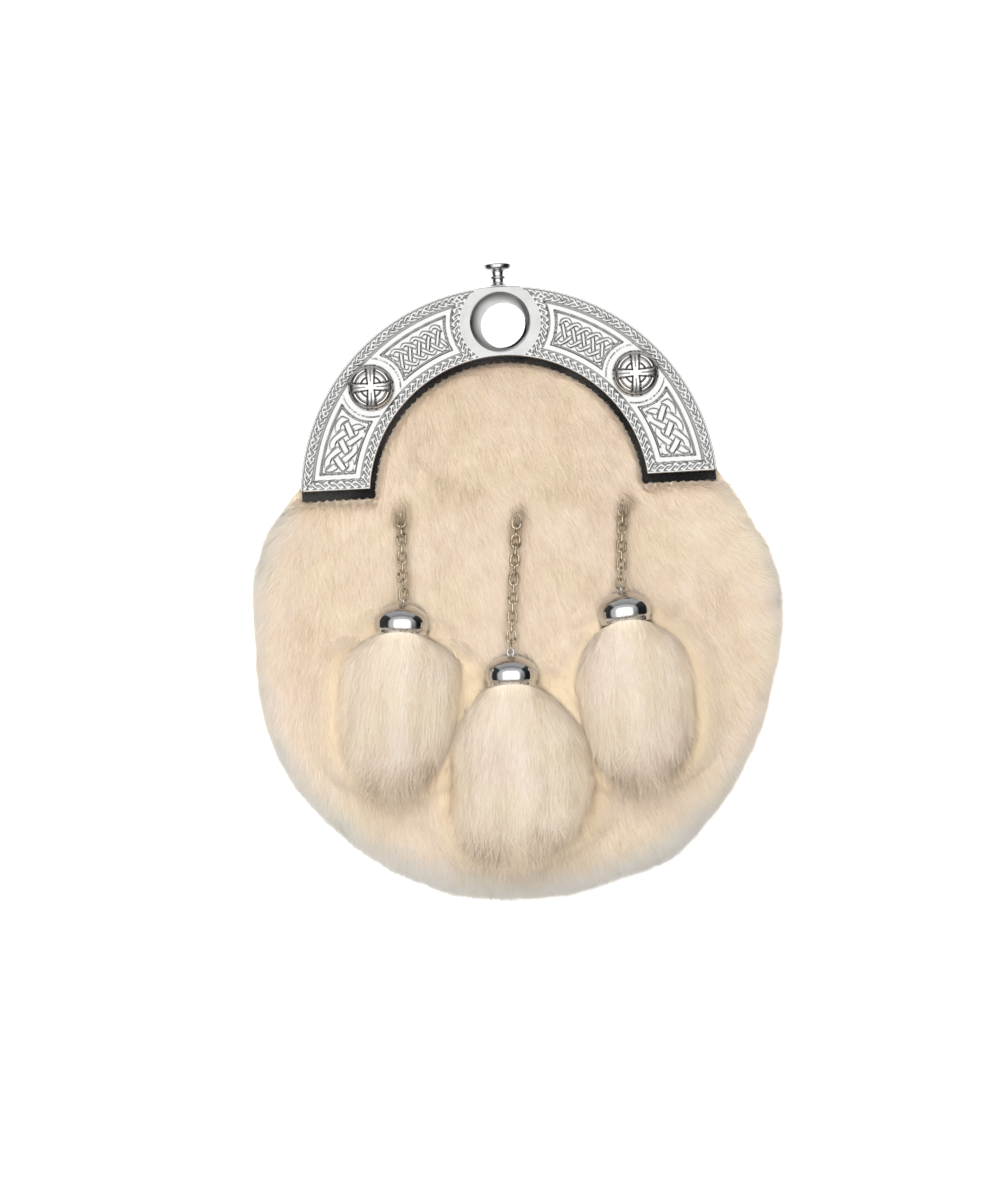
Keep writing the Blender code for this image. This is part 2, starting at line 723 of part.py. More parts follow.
def cap_mesh(eye_turn_deg):
    """A hollow bell: the profile runs down its outside, round the rim and back up inside."""
    outside = ((0.0, 1.0), (0.20, 0.985), (0.55, 0.86), (0.84, 0.58), (0.985, 0.20), (1.0, 0.0))
    inside = ((1.0, 0.0), (0.90, 0.50), (0.58, 0.86), (0.0, 1.0))
    profile = [(CAP_R * r, CAP_HEIGHT * z) for r, z in outside]
    inner_r, inner_h = CAP_R - CAP_WALL, CAP_HEIGHT - CAP_WALL
    profile += [(inner_r * r, inner_h * z) for r, z in inside]
    bell = turned_mesh("cap", profile, 12)
    eye = ring_mesh("cap_eye", EYE_R, WIRE_R, 8)
    eye.transform(Matrix.Translation((0.0, 0.0, CAP_HEIGHT + EYE_R - 0.0002))
                  @ Matrix.Rotation(math.radians(eye_turn_deg), 4, "Z")
                  @ Matrix.Rotation(math.radians(90.0), 4, "X"))
    return joined("cap", bell, eye)


def chain_route(row):
    """Where a chain's eyes and links lie, from the cap's eye up to the eye in the fur."""
    *_, links, top_x = row
    mouth, way = tassel_frame(row)
    eye = mouth - way * (CAP_HEIGHT + EYE_R - 0.0002)
    first = EYE_R + LINK_HALF_STRAIGHT + LINK_R - 2 * WIRE_R - GAP
    length = 2 * first + (links - 1) * LINK_PITCH
    flat = Vector((top_x - eye.x, math.sqrt(length ** 2 - (top_x - eye.x) ** 2), 0.0))
    top = eye + flat
    fall = eye.z - (front_face(top.x, top.y) + PELT_LIFT + SKIN + FUR_DEPTH * 0.75)
    slope = Vector((flat.x, flat.y, -fall)).normalized()
    places = [eye + slope * (first + i * LINK_PITCH) for i in range(links)]
    return eye, places, eye + slope * length, slope


def frame_on(slope, roll_deg):
    """A turn whose Y runs along the chain, rolled about it."""
    across = Vector((0.0, 0.0, 1.0)).cross(slope).normalized()
    up = slope.cross(across)
    base = Matrix((-across, slope, up)).transposed().to_4x4()
    return base @ Matrix.Rotation(math.radians(roll_deg), 4, "Y")


def link_mesh():
    """A ring pulled out into a link with straight sides along Y."""
    mesh = ring_mesh("link", LINK_R, WIRE_R, 10, turn_deg=18.0)
    for vertex in mesh.vertices:
        vertex.co.y += math.copysign(LINK_HALF_STRAIGHT, vertex.co.y)
    return mesh


def anchor_mesh():
    """A small plate with an upright eye. Z is up, and the eye's middle is at the origin."""
    plate_r, plate_thick, drop = 0.0030, 0.0008, 0.0042
    disc = turned_mesh("anchor_plate", ((0.0, plate_thick - drop), (plate_r, plate_thick - drop),
                                        (plate_r, -drop), (0.0, -drop)), 8)
    stem = turned_mesh("anchor_stem", ((0.0, -EYE_R), (1.5 * WIRE_R, -EYE_R),
                                       (1.5 * WIRE_R, plate_thick / 2 - drop),
                                       (0.0, plate_thick / 2 - drop)), 6)
    eye = ring_mesh("anchor_eye", EYE_R, WIRE_R, 8)
    eye.transform(Matrix.Rotation(math.radians(90.0), 4, "Y"))
    return joined("anchor", joined("anchor_foot", disc, stem), eye)


def build_chains():
    """Links lie flat and on edge by turns. The last lies flat, in the upright eye in the fur."""
    link, anchor = link_mesh(), anchor_mesh()
    for row in TASSELS:
        side, links = row[0], row[-2]
        eye, places, top, slope = chain_route(row)
        mouth, way = tassel_frame(row)
        eye_turn_deg = 0.0 if links % 2 == 0 else 90.0
        bell = add_part("cap_" + side, cap_mesh(eye_turn_deg), "chrome", smooth=True)
        bell.location = mouth
        bell.rotation_euler = (-way).to_track_quat("Z", "Y").to_euler()
        for count, place in enumerate(places, 1):
            piece = add_part(f"chain_{side}_link_{count:02d}", link.copy(), "nickel", smooth=True)
            roll = 0.0 if (links - count) % 2 == 0 else 90.0
            piece.matrix_world = Matrix.Translation(place) @ frame_on(slope, roll)
        hook = add_part("chain_anchor_" + side, anchor.copy(), "nickel", smooth=True)
        hook.location = top


# ---------------------------------------------------------------- fur pelt
def far_side(start, way, centre_y, radius):
    """How far a ray runs to a circle's far side, or nothing where it misses."""
    offset = Vector((start[0], start[1] - centre_y))
    along = offset.dot(way)
    inside = along ** 2 - offset.length_squared + radius ** 2
    return -along + math.sqrt(inside) if inside > 0 else 0.0


def under_cantle(x, y):
    """True where the fur is shaved off, under the cantle and its backing."""
    from_centre = math.hypot(x, y - CANTLE_Y)
    in_band = CANTLE_R_IN - BACKING_IN - BED_CLEAR < from_centre < CANTLE_R_OUT + BED_CLEAR
    return in_band and y > CANTLE_Y + CANTLE_END - BACKING_END - BED_CLEAR


def cantle_bed():
    """What the cantle and its backing press out of the fur."""
    r_out, r_in = CANTLE_R_OUT + BED_CLEAR, CANTLE_R_IN - BACKING_IN - BED_CLEAR
    rise = CANTLE_END - BACKING_END - BED_CLEAR
    edge_out, edge_in = (math.degrees(math.asin(rise / radius)) for radius in (r_out, r_in))
    steps = 16
    outline = [polar(r_out, edge_out + (180.0 - 2 * edge_out) * i / steps)
               for i in range(steps + 1)]
    outline += [polar(r_in, 180.0 - edge_in - (180.0 - 2 * edge_in) * i / steps)
                for i in range(steps + 1)]
    return plate("cantle_bed", [outline], PELT_TOP_Z, CANTLE_FACE_Z + 0.02)


def fur_height(x, y, lock, edge_z):
    """Top of the fur: full over the dome, rounded at the edge, flat under the cantle."""
    skin = front_face(x, y) + PELT_LIFT + SKIN
    if under_cantle(x, y):
        return PELT_TOP_Z - 0.0002
    full = skin + FUR_DEPTH * (0.80 + 0.20 * lock)
    inset = FUR_R - math.hypot(x, y - POUCH_Y)
    share = min(1.0, max(0.0, (FUR_ROUND - inset) / FUR_ROUND))
    return edge_z + (full - edge_z) * math.sqrt(1.0 - share ** 2)


def build_pelt():
    """Locks in a fan from the top of the pouch, lapped like shingles, fused to a skin.

    Two spokes make a lock: a ridge and the valley beside it. Each row of locks is three rings
    long and swells to its tips, and every other strip starts half a lock further on.
    """
    start = Vector((0.0, CANTLE_Y + TOP_REACH - 0.006))
    fan_deg, lower_spokes, upper_spokes = 98.0, 39, 5
    lock_rings = 11
    angles = [-fan_deg + 2 * fan_deg * i / (lower_spokes - 1) for i in range(lower_spokes)]
    rest = 360.0 - 2 * fan_deg
    angles += [fan_deg + rest * (i + 1) / (upper_spokes + 1) for i in range(upper_spokes)]
    shares = [0.94 * (i + 1) / lock_rings for i in range(lock_rings)] + [0.975]
    body = bmesh.new()
    top_rings = [[] for _ in shares]
    outer, hem, inner_low, inner_high = [], [], [], []
    under_rings = [[] for _ in range(5)]
    floor = RIM_Z + PELT_LIFT
    thin_edge_z = floor + 0.0011
    for spoke, degrees in enumerate(angles):
        way = Vector((math.sin(math.radians(degrees)), -math.cos(math.radians(degrees))))
        top_reach = far_side(start, way, TOP_ARC_Y, TOP_ARC_R)
        reach = max(top_reach, far_side(start, way, POUCH_Y, FUR_R))
        leather = max(top_reach, far_side(start, way, POUCH_Y, LEATHER_R + 0.0008))
        ridge = 1.0 if spoke % 2 == 1 and spoke < lower_spokes else 0.0
        edge = start + way * leather
        rise = math.degrees(math.atan2(edge.y - POUCH_Y, abs(edge.x)))
        wrap = min(1.0, max(0.0, (18.0 - rise) / 18.0))
        edge_z = thin_edge_z + (FUR_EDGE_Z - thin_edge_z) * wrap
        for ring, share in enumerate(shares):
            x, y = start + way * (share * reach)
            along = ((ring + (1.5 if (spoke // 2) % 2 else 0.0)) % 3.0) / 2.0
            lock = (0.25 + 0.75 * min(1.0, along)) * ridge
            top_rings[ring].append(body.verts.new((x, y, fur_height(x, y, lock, edge_z))))

        def place(distance, height):
            x, y = start + way * distance
            return body.verts.new((x, y, height))

        def blend(thin, full):
            return thin + (full - thin) * wrap
        tip = reach * (1.0 - 0.012 * (1.0 - ridge) * wrap)
        outer.append(place(tip, edge_z))
        hem.append(place(leather + 0.45 * (reach - leather), blend(floor + 0.0007, FUR_HEM_Z)))
        inner_low.append(place(leather, blend(floor + 0.0004, FUR_HEM_Z + 0.001)))
        inner_high.append(place(leather, floor))
        for ring, under in enumerate(under_rings):
            x, y = start + way * (leather * (5 - ring) / 6)
            under.append(body.verts.new((x, y, front_face(x, y) + PELT_LIFT)))
    rings = top_rings + [outer, hem, inner_low, inner_high] + under_rings
    loft(body, rings)
    x, y = start
    close_at(body, rings[0], body.verts.new((x, y, fur_height(x, y, 0.0, floor))), True)
    close_at(body, rings[-1], body.verts.new((x, y, RIM_Z + PELT_LIFT)), False)
    pelt = add_part("fur_pelt", mesh_of(body, "fur_pelt"), "cream_fur")
    for name, mesh in pelt_hollows():
        add_boolean(pelt, add_cutter(name, mesh), "DIFFERENCE", "MANIFOLD")


def pelt_hollows():
    """What the cantle, tassels, chains and their eyes press out of the fur."""
    hollows = [("cantle_bed", cantle_bed())]
    for row in TASSELS:
        side = row[0]
        hollows.append(("hollow_" + side, tassel_mesh(row, 12, 0.0017, False)))
        _, places, top, slope = chain_route(row)
        long = (top - places[0]).length + 0.012
        groove = turned_mesh("groove_" + side, ((0.0, long), (0.0024, long), (0.0024, 0.0),
                                                (0.0, 0.0)), 6)
        groove.transform(Matrix.Translation(places[0] - slope * 0.006)
                         @ slope.to_track_quat("Z", "Y").to_matrix().to_4x4())
        hollows.append(("groove_" + side, groove))
        pit = turned_mesh("pit_" + side, ((0.0, 0.02), (0.0045, 0.02), (0.0036, -GAP),
                                          (0.0, -GAP)), 8)
        pit.transform(Matrix.Translation((top.x, top.y, top.z - 0.0042)))
        hollows.append(("pit_" + side, pit))
    return hollows


build_back_panel()
build_belt_loop()
build_gusset()
build_front_panel()
build_pelt()
build_backing()
build_cantle()
build_bosses()
build_knob()
build_tassels()
build_chains()
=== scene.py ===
"""A full-dress sporran pouch: black leather, cream fur, a cast cantle and three fur tassels."""
import json
import math
from collections import namedtuple

import bmesh
import bpy
import numpy as np
from mathutils import Matrix, Vector

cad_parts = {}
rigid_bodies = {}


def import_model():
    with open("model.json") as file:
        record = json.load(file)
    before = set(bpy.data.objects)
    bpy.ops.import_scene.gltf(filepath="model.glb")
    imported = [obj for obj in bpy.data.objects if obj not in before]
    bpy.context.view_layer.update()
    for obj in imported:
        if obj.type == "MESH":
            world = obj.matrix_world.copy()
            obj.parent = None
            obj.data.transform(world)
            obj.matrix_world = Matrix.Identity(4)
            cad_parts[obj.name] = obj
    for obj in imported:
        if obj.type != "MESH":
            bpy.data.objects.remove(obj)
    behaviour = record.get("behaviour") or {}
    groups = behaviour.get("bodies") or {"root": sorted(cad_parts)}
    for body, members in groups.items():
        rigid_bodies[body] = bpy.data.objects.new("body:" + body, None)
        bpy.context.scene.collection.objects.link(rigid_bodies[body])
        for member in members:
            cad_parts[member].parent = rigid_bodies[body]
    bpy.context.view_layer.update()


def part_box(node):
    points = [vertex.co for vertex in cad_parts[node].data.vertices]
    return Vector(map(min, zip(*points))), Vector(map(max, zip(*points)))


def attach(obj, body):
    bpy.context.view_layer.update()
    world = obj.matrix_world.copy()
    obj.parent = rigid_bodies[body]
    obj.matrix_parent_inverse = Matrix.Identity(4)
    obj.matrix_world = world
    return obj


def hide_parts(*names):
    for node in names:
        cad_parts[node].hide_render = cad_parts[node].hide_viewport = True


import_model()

# ------------------------------------------------------------------ leather panels
# The pouch is two panels of 2 mm black cowhide. The back one is flat over the belly and steps up
# behind the belt loop. The front one is moulded into a dome, and its top edge is the pouch's lip.
LEATHER = 0.002
LEATHER_R = 0.0880           # the belly's outline, round its own centre
TOP_ARC_R = 0.0829           # and the top's
ARC_CENTRE_Y = 0.0325        # the cantle's arc centre, from which the pouch is laid out
POUCH_Y = ARC_CENTRE_Y - 0.0520
TOP_ARC_Y = ARC_CENTRE_Y + 0.0535 - TOP_ARC_R
BACK_RISE = 0.0066           # the back steps up by this, from BACK_STEP_Y on
BACK_STEP_Y, BACK_STEP_LONG = -0.002, 0.032
FRONT_RIM_Z = 0.0160
DOME_HEIGHT = 0.0110
DOME_Y = ARC_CENTRE_Y - 0.0620
DOME_HALF_X, DOME_HALF_Y = 0.0840, 0.0800
STITCH_SINK = 0.00025        # the threads lie in a groove this deep


def worked(operation):
    """A Python operator that adds a Math node, and its reflected form."""
    def plain(lead, value):
        return lead.node("ShaderNodeMath", {"operation": operation}, {0: lead, 1: value})

    def reflected(lead, value):
        return lead.node("ShaderNodeMath", {"operation": operation}, {0: value, 1: lead})
    return plain, reflected


class Lead:
    """A socket of a node tree. Sums with it add Math nodes, and node() adds any other node."""

    __add__, __radd__ = worked("ADD")
    __sub__, __rsub__ = worked("SUBTRACT")
    __mul__, __rmul__ = worked("MULTIPLY")
    __truediv__, __rtruediv__ = worked("DIVIDE")
    __pow__, __rpow__ = worked("POWER")

    def __init__(self, socket):
        self.socket = socket

    def node(self, kind, settings=None, values=None, out=0):
        """A new node: its settings are made first, then the values or links of its sockets."""
        tree = self.socket.id_data
        made = tree.nodes.new(kind)
        for name, value in (settings or {}).items():
            if name == "stops":
                ramp = made.color_ramp
                while len(ramp.elements) < len(value):
                    ramp.elements.new(0.5)
                for element, (place, colour) in zip(ramp.elements, value):
                    element.position = place
                    element.color = (*colour, 1.0)
            else:
                setattr(made, name, value)
        for key, value in (values or {}).items():
            if isinstance(value, Lead):
                tree.links.new(value.socket, made.inputs[key])
            else:
                made.inputs[key].default_value = value
        return Lead(made.outputs[out])

    def other(self, out):
        """Another output of the same node."""
        return Lead(self.socket.node.outputs[out])

    def maths(self, operation, *values):
        """A Math node that no Python operator stands for."""
        return self.node("ShaderNodeMath", {"operation": operation},
                         dict(enumerate((self, *values))))

    def part(self, axis):
        """The X, Y or Z of a vector."""
        return self.node("ShaderNodeSeparateXYZ", {}, {"Vector": self}, out=axis)

    def vector(self, **parts):
        """A vector from its X, Y and Z, with 0 for one left out."""
        return self.node("ShaderNodeCombineXYZ", {}, parts)

    def step(self, low, high):
        """0 below low and 1 above high, and smooth between."""
        return self.node("ShaderNodeMapRange", {"interpolation_type": "SMOOTHSTEP"},
                         {"Value": self, "From Min": low, "From Max": high})

    def noise(self, scale, detail=2.0, **more):
        return self.node("ShaderNodeTexNoise", {},
                         {"Vector": self, "Scale": scale, "Detail": detail, **more})

    def kept(self, name):
        """A number that the mesh carries."""
        return self.node("ShaderNodeAttribute", {"attribute_name": name}, out="Fac")

    def blend(self, low, high):
        """A colour between two, by this share."""
        return self.node("ShaderNodeMix", {"data_type": "RGBA"},
                         {"Factor": self, 6: low, 7: high}, out=2)


def new_finish(name, roughness, metallic=0.0, **fixed):
    """A material with one Principled shader, and a lead from its Object coordinates."""
    made = bpy.data.materials.new(name)
    made.use_nodes = True
    shader = made.node_tree.nodes["Principled BSDF"]
    shader.inputs["Roughness"].default_value = roughness
    shader.inputs["Metallic"].default_value = metallic
    for socket, value in fixed.items():
        shader.inputs[socket.replace("_", " ")].default_value = value
    return made, Lead(made.node_tree.nodes.new("ShaderNodeTexCoord").outputs["Object"])


def dressed(made, height=None, deep=0.0, **leads):
    """A material with leads on its shader's sockets, and a bump as deep as given."""
    shader = made.node_tree.nodes["Principled BSDF"]
    if height:
        leads["Normal"] = height.node("ShaderNodeBump", {}, {"Height": height, "Distance": deep})
    for socket, lead in leads.items():
        made.node_tree.links.new(lead.socket, shader.inputs[socket.replace("_", " ")])
    return made


def leather_finish(name, dark, light):
    made, place = new_finish(name, 0.5, Specular_IOR_Level=0.20)
    pore = place.node("ShaderNodeTexVoronoi", {"feature": "DISTANCE_TO_EDGE"},
                      {"Vector": place, "Scale": 950.0})
    crease = place.noise(260.0, 5.0)
    return dressed(made, pore.step(0.0, 0.18) * 0.6 + crease * 0.7, 0.00030,
                   Base_Color=place.noise(42.0, 4.0).step(0.35, 0.7).blend(dark, light),
                   Roughness=0.38 + 0.22 * crease)


BLACK_LEATHER = leather_finish("black_leather", (0.004, 0.004, 0.004, 1.0),
                               (0.012, 0.011, 0.011, 1.0))


def pouch_reach(degrees, belly_r=LEATHER_R):
    """From the belly's centre to the pouch's outline: the wider of its two circles."""
    rise = TOP_ARC_Y - POUCH_Y
    angle = np.radians(degrees)
    top = rise * np.sin(angle) + np.sqrt(TOP_ARC_R ** 2 - (rise * np.cos(angle)) ** 2)
    return np.maximum(belly_r, top)


def front_face(x, y):
    share = 1.0 - (x / DOME_HALF_X) ** 2 - ((y - DOME_Y) / DOME_HALF_Y) ** 2
    return FRONT_RIM_Z + DOME_HEIGHT * np.maximum(0.0, share) ** 1.2


def back_face(y):
    share = np.clip((y - BACK_STEP_Y) / BACK_STEP_LONG, 0.0, 1.0)
    return BACK_RISE * share * share * (3.0 - 2.0 * share)


def ways_out(angle):
    """Unit ways in the XY plane, one for each angle in radians."""
    return np.stack([np.cos(angle), np.sin(angle)], 1)


def plain_mesh(points, edges=(), faces=()):
    mesh = bpy.data.meshes.new("part")
    mesh.from_pydata([tuple(map(float, point)) for point in points], edges, faces)
    return mesh


def written(body, mesh=None):
    """A mesh from a bmesh that is done with, its faces pointing out."""
    mesh = mesh or bpy.data.meshes.new("part")
    bmesh.ops.recalc_face_normals(body, faces=body.faces)
    body.to_mesh(mesh)
    body.free()
    return mesh


def closed_mesh(points, faces):
    """A mesh with its doubles merged."""
    mesh = plain_mesh(points, faces=faces)
    body = bmesh.new()
    body.from_mesh(mesh)
    bmesh.ops.remove_doubles(body, verts=body.verts, dist=1e-6)
    return written(body, mesh)


def tube_faces(rings, count, closed=False):
    """Quads from each ring of count points to the next, and from the last to the first if closed."""
    faces = []
    for row in range(rings if closed else rings - 1):
        here, beyond = row * count, (row + 1) % rings * count
        for i in range(count):
            j = (i + 1) % count
            faces.append((here + i, here + j, beyond + j, beyond + i))
    return faces


def lofted(rings, tips):
    """A closed skin over rings of equal count, with a point at each end."""
    rings = np.asarray(rings, float)
    count = rings.shape[1]
    points = np.concatenate([rings.reshape(-1, 3), np.asarray(tips, float)])
    faces = tube_faces(len(rings), count)
    for tip, row in enumerate((0, len(rings) - 1)):
        for i in range(count):
            faces.append((row * count + i, row * count + (i + 1) % count,
                          len(rings) * count + tip))
    return closed_mesh(points, faces)


def placed(name, data):
    """A new object in the scene, at the origin."""
    made = bpy.data.objects.new(name, data)
    bpy.context.scene.collection.objects.link(made)
    return made


def show(name, mesh, finish, slot, *nodes, smooth_deg=40.0):
    """A finished piece: its mesh in place, on the one body, standing for its CAD nodes."""
    mesh.name = name
    mesh.materials.clear()
    mesh.materials.append(finish)
    mesh.shade_smooth()
    mesh.set_sharp_from_angle(angle=math.radians(smooth_deg))
    piece = placed(name, mesh)
    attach(piece, "root")
    if nodes:
        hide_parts(*nodes)
    return piece


def leather_panel(outer_face, turn):
    """A sheet on the pouch's outline. Its outer face is given; turn is the way to its inner one."""
    spokes = 120
    degrees = np.arange(spokes) * 360.0 / spokes + 90.0
    reach = pouch_reach(degrees)
    way = ways_out(np.radians(degrees))
    sheet = []
    edge = [(1.0 - math.sin(a), 1.0 - math.cos(a)) for a in np.linspace(0, math.pi / 2, 4)]
    steps = [(share, 0.0, 0.0) for share in np.linspace(0.12, 0.94, 9)]
    rounding = LEATHER * 0.35
    steps += [(1.0, rounding * inset, rounding * drop) for inset, drop in reversed(edge)]
    steps += [(1.0, rounding * inset, LEATHER - rounding * drop) for inset, drop in edge]
    steps += [(share, 0.0, LEATHER) for share in np.linspace(0.94, 0.12, 9)]
    for share, inset, depth in steps:
        xy = way * (share * reach - inset)[:, None]
        y = xy[:, 1] + POUCH_Y
        sheet.append(np.stack([xy[:, 0], y, outer_face(xy[:, 0], y) + turn * depth], 1))
    middle = float(outer_face(np.array(0.0), np.array(POUCH_Y)))
    return lofted(sheet, [(0.0, POUCH_Y, middle), (0.0, POUCH_Y, middle + turn * LEATHER)])


show("leather_back", leather_panel(lambda x, y: back_face(y) + STITCH_SINK, 1.0),
     BLACK_LEATHER, "leather_black", "back_panel")
show("leather_front", leather_panel(front_face, -1.0), BLACK_LEATHER, "leather_black",
     "front_panel")

# ------------------------------------------------------------------ side wall
# A 2 mm strip of the same leather stands between the panels from one shoulder round the foot to
# the other, where the pouch opens. It bows out a little between its two sewn edges.
GUSSET_SHOULDER_DEG = 38.0
GUSSET_BOW, GUSSET_INSET = 0.0007, 0.0006
SEAM_GAP = 0.0002            # between the wall's edges and the panels


def side_wall():
    columns, rows = 150, 9
    points = []
    for column in range(columns + 1):
        degrees = GUSSET_SHOULDER_DEG - (180.0 + 2 * GUSSET_SHOULDER_DEG) * column / columns
        angle = math.radians(degrees)
        reach = float(pouch_reach(degrees)) - GUSSET_INSET
        y_mid = POUCH_Y + reach * math.sin(angle)
        low = float(back_face(y_mid)) + LEATHER + SEAM_GAP
        high = FRONT_RIM_Z - LEATHER - SEAM_GAP
        loop = [(share, 0.0) for share in np.linspace(0, 1, rows)]
        loop += [(share, LEATHER) for share in np.linspace(1, 0, rows)]
        for share, inset in loop:
            radius = reach + GUSSET_BOW * math.sin(math.pi * share) - inset
            points.append((radius * math.cos(angle), POUCH_Y + radius * math.sin(angle),
                           low + (high - low) * share))
    ring = 2 * rows
    ends = [tuple(range(ring)), tuple(columns * ring + i for i in reversed(range(ring)))]
    return closed_mesh(points, tube_faces(columns + 1, ring) + ends)


show("leather_side", side_wall(), BLACK_LEATHER, "leather_black", "gusset")

# ------------------------------------------------------------------ belt loop
# A plain strap of the same leather, sewn to the back at its two feet, so that the sporran's own
# strap runs under it. Its tunnel is 50 mm long, 32 mm wide and 4.6 mm deep.
LOOP_HALF_X = 0.025
LOOP_LOW_Y, LOOP_HIGH_Y, LOOP_FOOT = 0.038, 0.078, 0.004
LOOP_UNDER = BACK_RISE - 0.0003
LOOP_ROUNDING = 0.0007


def bridge(body, one, two):
    """Quads from one loop of vertices to the next."""
    for i in range(len(one)):
        j = (i + 1) % len(one)
        body.faces.new((one[i], one[j], two[j], two[i]))


def belt_loop():
    """The strap's section, run along X, with its corners rounded by a bevel."""
    section = (
        # y, z
        (LOOP_LOW_Y, 0.0), (LOOP_HIGH_Y, 0.0), (LOOP_HIGH_Y, LOOP_UNDER),
        (LOOP_HIGH_Y - LOOP_FOOT, LOOP_UNDER), (LOOP_HIGH_Y - LOOP_FOOT, LEATHER),
        (LOOP_LOW_Y + LOOP_FOOT, LEATHER), (LOOP_LOW_Y + LOOP_FOOT, LOOP_UNDER),
        (LOOP_LOW_Y, LOOP_UNDER),
    )
    body = bmesh.new()
    ends = [[body.verts.new((x, y, z)) for y, z in section] for x in (-LOOP_HALF_X, LOOP_HALF_X)]
    bridge(body, *ends)
    body.faces.new(ends[0])
    body.faces.new(ends[1])
    bmesh.ops.recalc_face_normals(body, faces=body.faces)
    bmesh.ops.bevel(body, geom=list(body.edges), offset=LOOP_ROUNDING, segments=3,
                    affect="EDGES", profile=0.5)
    return written(body)


show("strap_loop", belt_loop(), BLACK_LEATHER, "leather_black", "belt_loop")

# ------------------------------------------------------------------ seams
# Waxed black thread, in stitches 3.2 mm long, holds the back to the side wall and the strap to
# the back. Each stitch is a short plump strand laid in a pressed groove.
STITCH_PITCH = 0.0032
STITCH_LENGTH = 0.0024
THREAD_R = 0.0003
SEAM_INSET, LOOP_SEAM_INSET = 0.0032, 0.002


class Recipe:
    """A Geometry Nodes tree with named sizes, run on a mesh to make a plain mesh."""

    def __init__(self, name, sizes):
        self.tree = bpy.data.node_groups.new(name, "GeometryNodeTree")
        self.ids = {}
        sides = self.tree.interface
        for side in ("INPUT", "OUTPUT"):
            sides.new_socket("Geometry", in_out=side, socket_type="NodeSocketGeometry")
        for size, value in sizes.items():
            kind = "NodeSocketInt" if isinstance(value, int) else "NodeSocketFloat"
            socket = sides.new_socket(size, in_out="INPUT", socket_type=kind)
            socket.default_value = value
            self.ids[size] = socket.identifier
        self.given = self.tree.nodes.new("NodeGroupInput")
        self.result = self.tree.nodes.new("NodeGroupOutput")

    def size(self, name):
        return Lead(self.given.outputs[name])

    def start(self, kind, settings=None, values=None, out=0):
        return self.size("Geometry").node(kind, settings, values, out)

    def attribute(self, name, kind="FLOAT"):
        return self.start("GeometryNodeInputNamedAttribute", {"data_type": kind}, {"Name": name})

    def end(self, geometry, finish):
        solid = geometry.node("GeometryNodeRealizeInstances", {}, {"Geometry": geometry})
        whole = solid.node("GeometryNodeSetMaterial", {}, {"Geometry": solid, "Material": finish})
        self.tree.links.new(whole.socket, self.result.inputs[0])

    def run(self, mesh, **sizes):
        holder = placed("guide", mesh)
        step = holder.modifiers.new("recipe", "NODES")
        step.node_group = self.tree
        for size, value in sizes.items():
            step[self.ids[size]] = value
        made = bpy.data.meshes.new_from_object(
            holder.evaluated_get(bpy.context.evaluated_depsgraph_get()))
        holder.modifiers.remove(step)
        bpy.data.objects.remove(holder)
        return made


def path_mesh(points):
    """A line through the given points."""
    return plain_mesh(points, edges=[(i, i + 1) for i in range(len(points) - 1)])


def thread_finish():
    made, place = new_finish("waxed_thread", 0.5)
    colour = place.noise(900.0).blend((0.010, 0.009, 0.008, 1.0), (0.035, 0.031, 0.028, 1.0))
    return dressed(made, place.noise(3500.0, 1.0), 0.00008, Base_Color=colour)


def planted(points, piece, **how):
    """A piece at each point."""
    return points.node("GeometryNodeInstanceOnPoints", {},
                       {"Points": points, "Instance": piece, **how})


def stitch_recipe():
    """Stitches along a path: a plump strand at each step, turned to the path."""
    recipe = Recipe("stitches", {"Pitch": STITCH_PITCH, "Length": STITCH_LENGTH,
                                 "Thread radius": THREAD_R})
    path = recipe.start("GeometryNodeMeshToCurve", {}, {"Mesh": recipe.size("Geometry")})
    steps = path.node("GeometryNodeResampleCurve", {"mode": "LENGTH"},
                      {"Curve": path, "Length": recipe.size("Pitch")})
    along = path.node("GeometryNodeInputTangent")
    turn = path.node("FunctionNodeAlignRotationToVector", {"axis": "Z"}, {"Vector": along})
    strand = path.node("GeometryNodeMeshUVSphere", {}, {"Segments": 8, "Rings": 6, "Radius": 1.0})
    wide = recipe.size("Thread radius")
    scale = path.vector(X=wide, Y=wide, Z=recipe.size("Length") * 0.5)
    recipe.end(planted(steps, strand, Rotation=turn, Scale=scale), THREAD)
    return recipe


THREAD = thread_finish()
STITCHES = stitch_recipe()


def seam(name, points):
    show(name, STITCHES.run(path_mesh(points)), THREAD, "leather_black")


def back_seam():
    """Just inside the back panel's edge, from shoulder to shoulder round the foot."""
    points = []
    for degrees in np.linspace(GUSSET_SHOULDER_DEG, -180.0 - GUSSET_SHOULDER_DEG, 220):
        reach = float(pouch_reach(degrees)) - SEAM_INSET
        y = POUCH_Y + reach * math.sin(math.radians(degrees))
        points.append((reach * math.cos(math.radians(degrees)), y,
                       float(back_face(y)) + THREAD_R * 0.8))
    return points


seam("seam_back", back_seam())
seam_half_x = LOOP_HALF_X - LOOP_SEAM_INSET
for edge, seam_y in (("low", LOOP_LOW_Y + LOOP_SEAM_INSET), ("high", LOOP_HIGH_Y - LOOP_SEAM_INSET)):
    seam("seam_loop_" + edge, [(x, seam_y, THREAD_R * 0.55)
                               for x in np.linspace(-seam_half_x, seam_half_x, 12)])

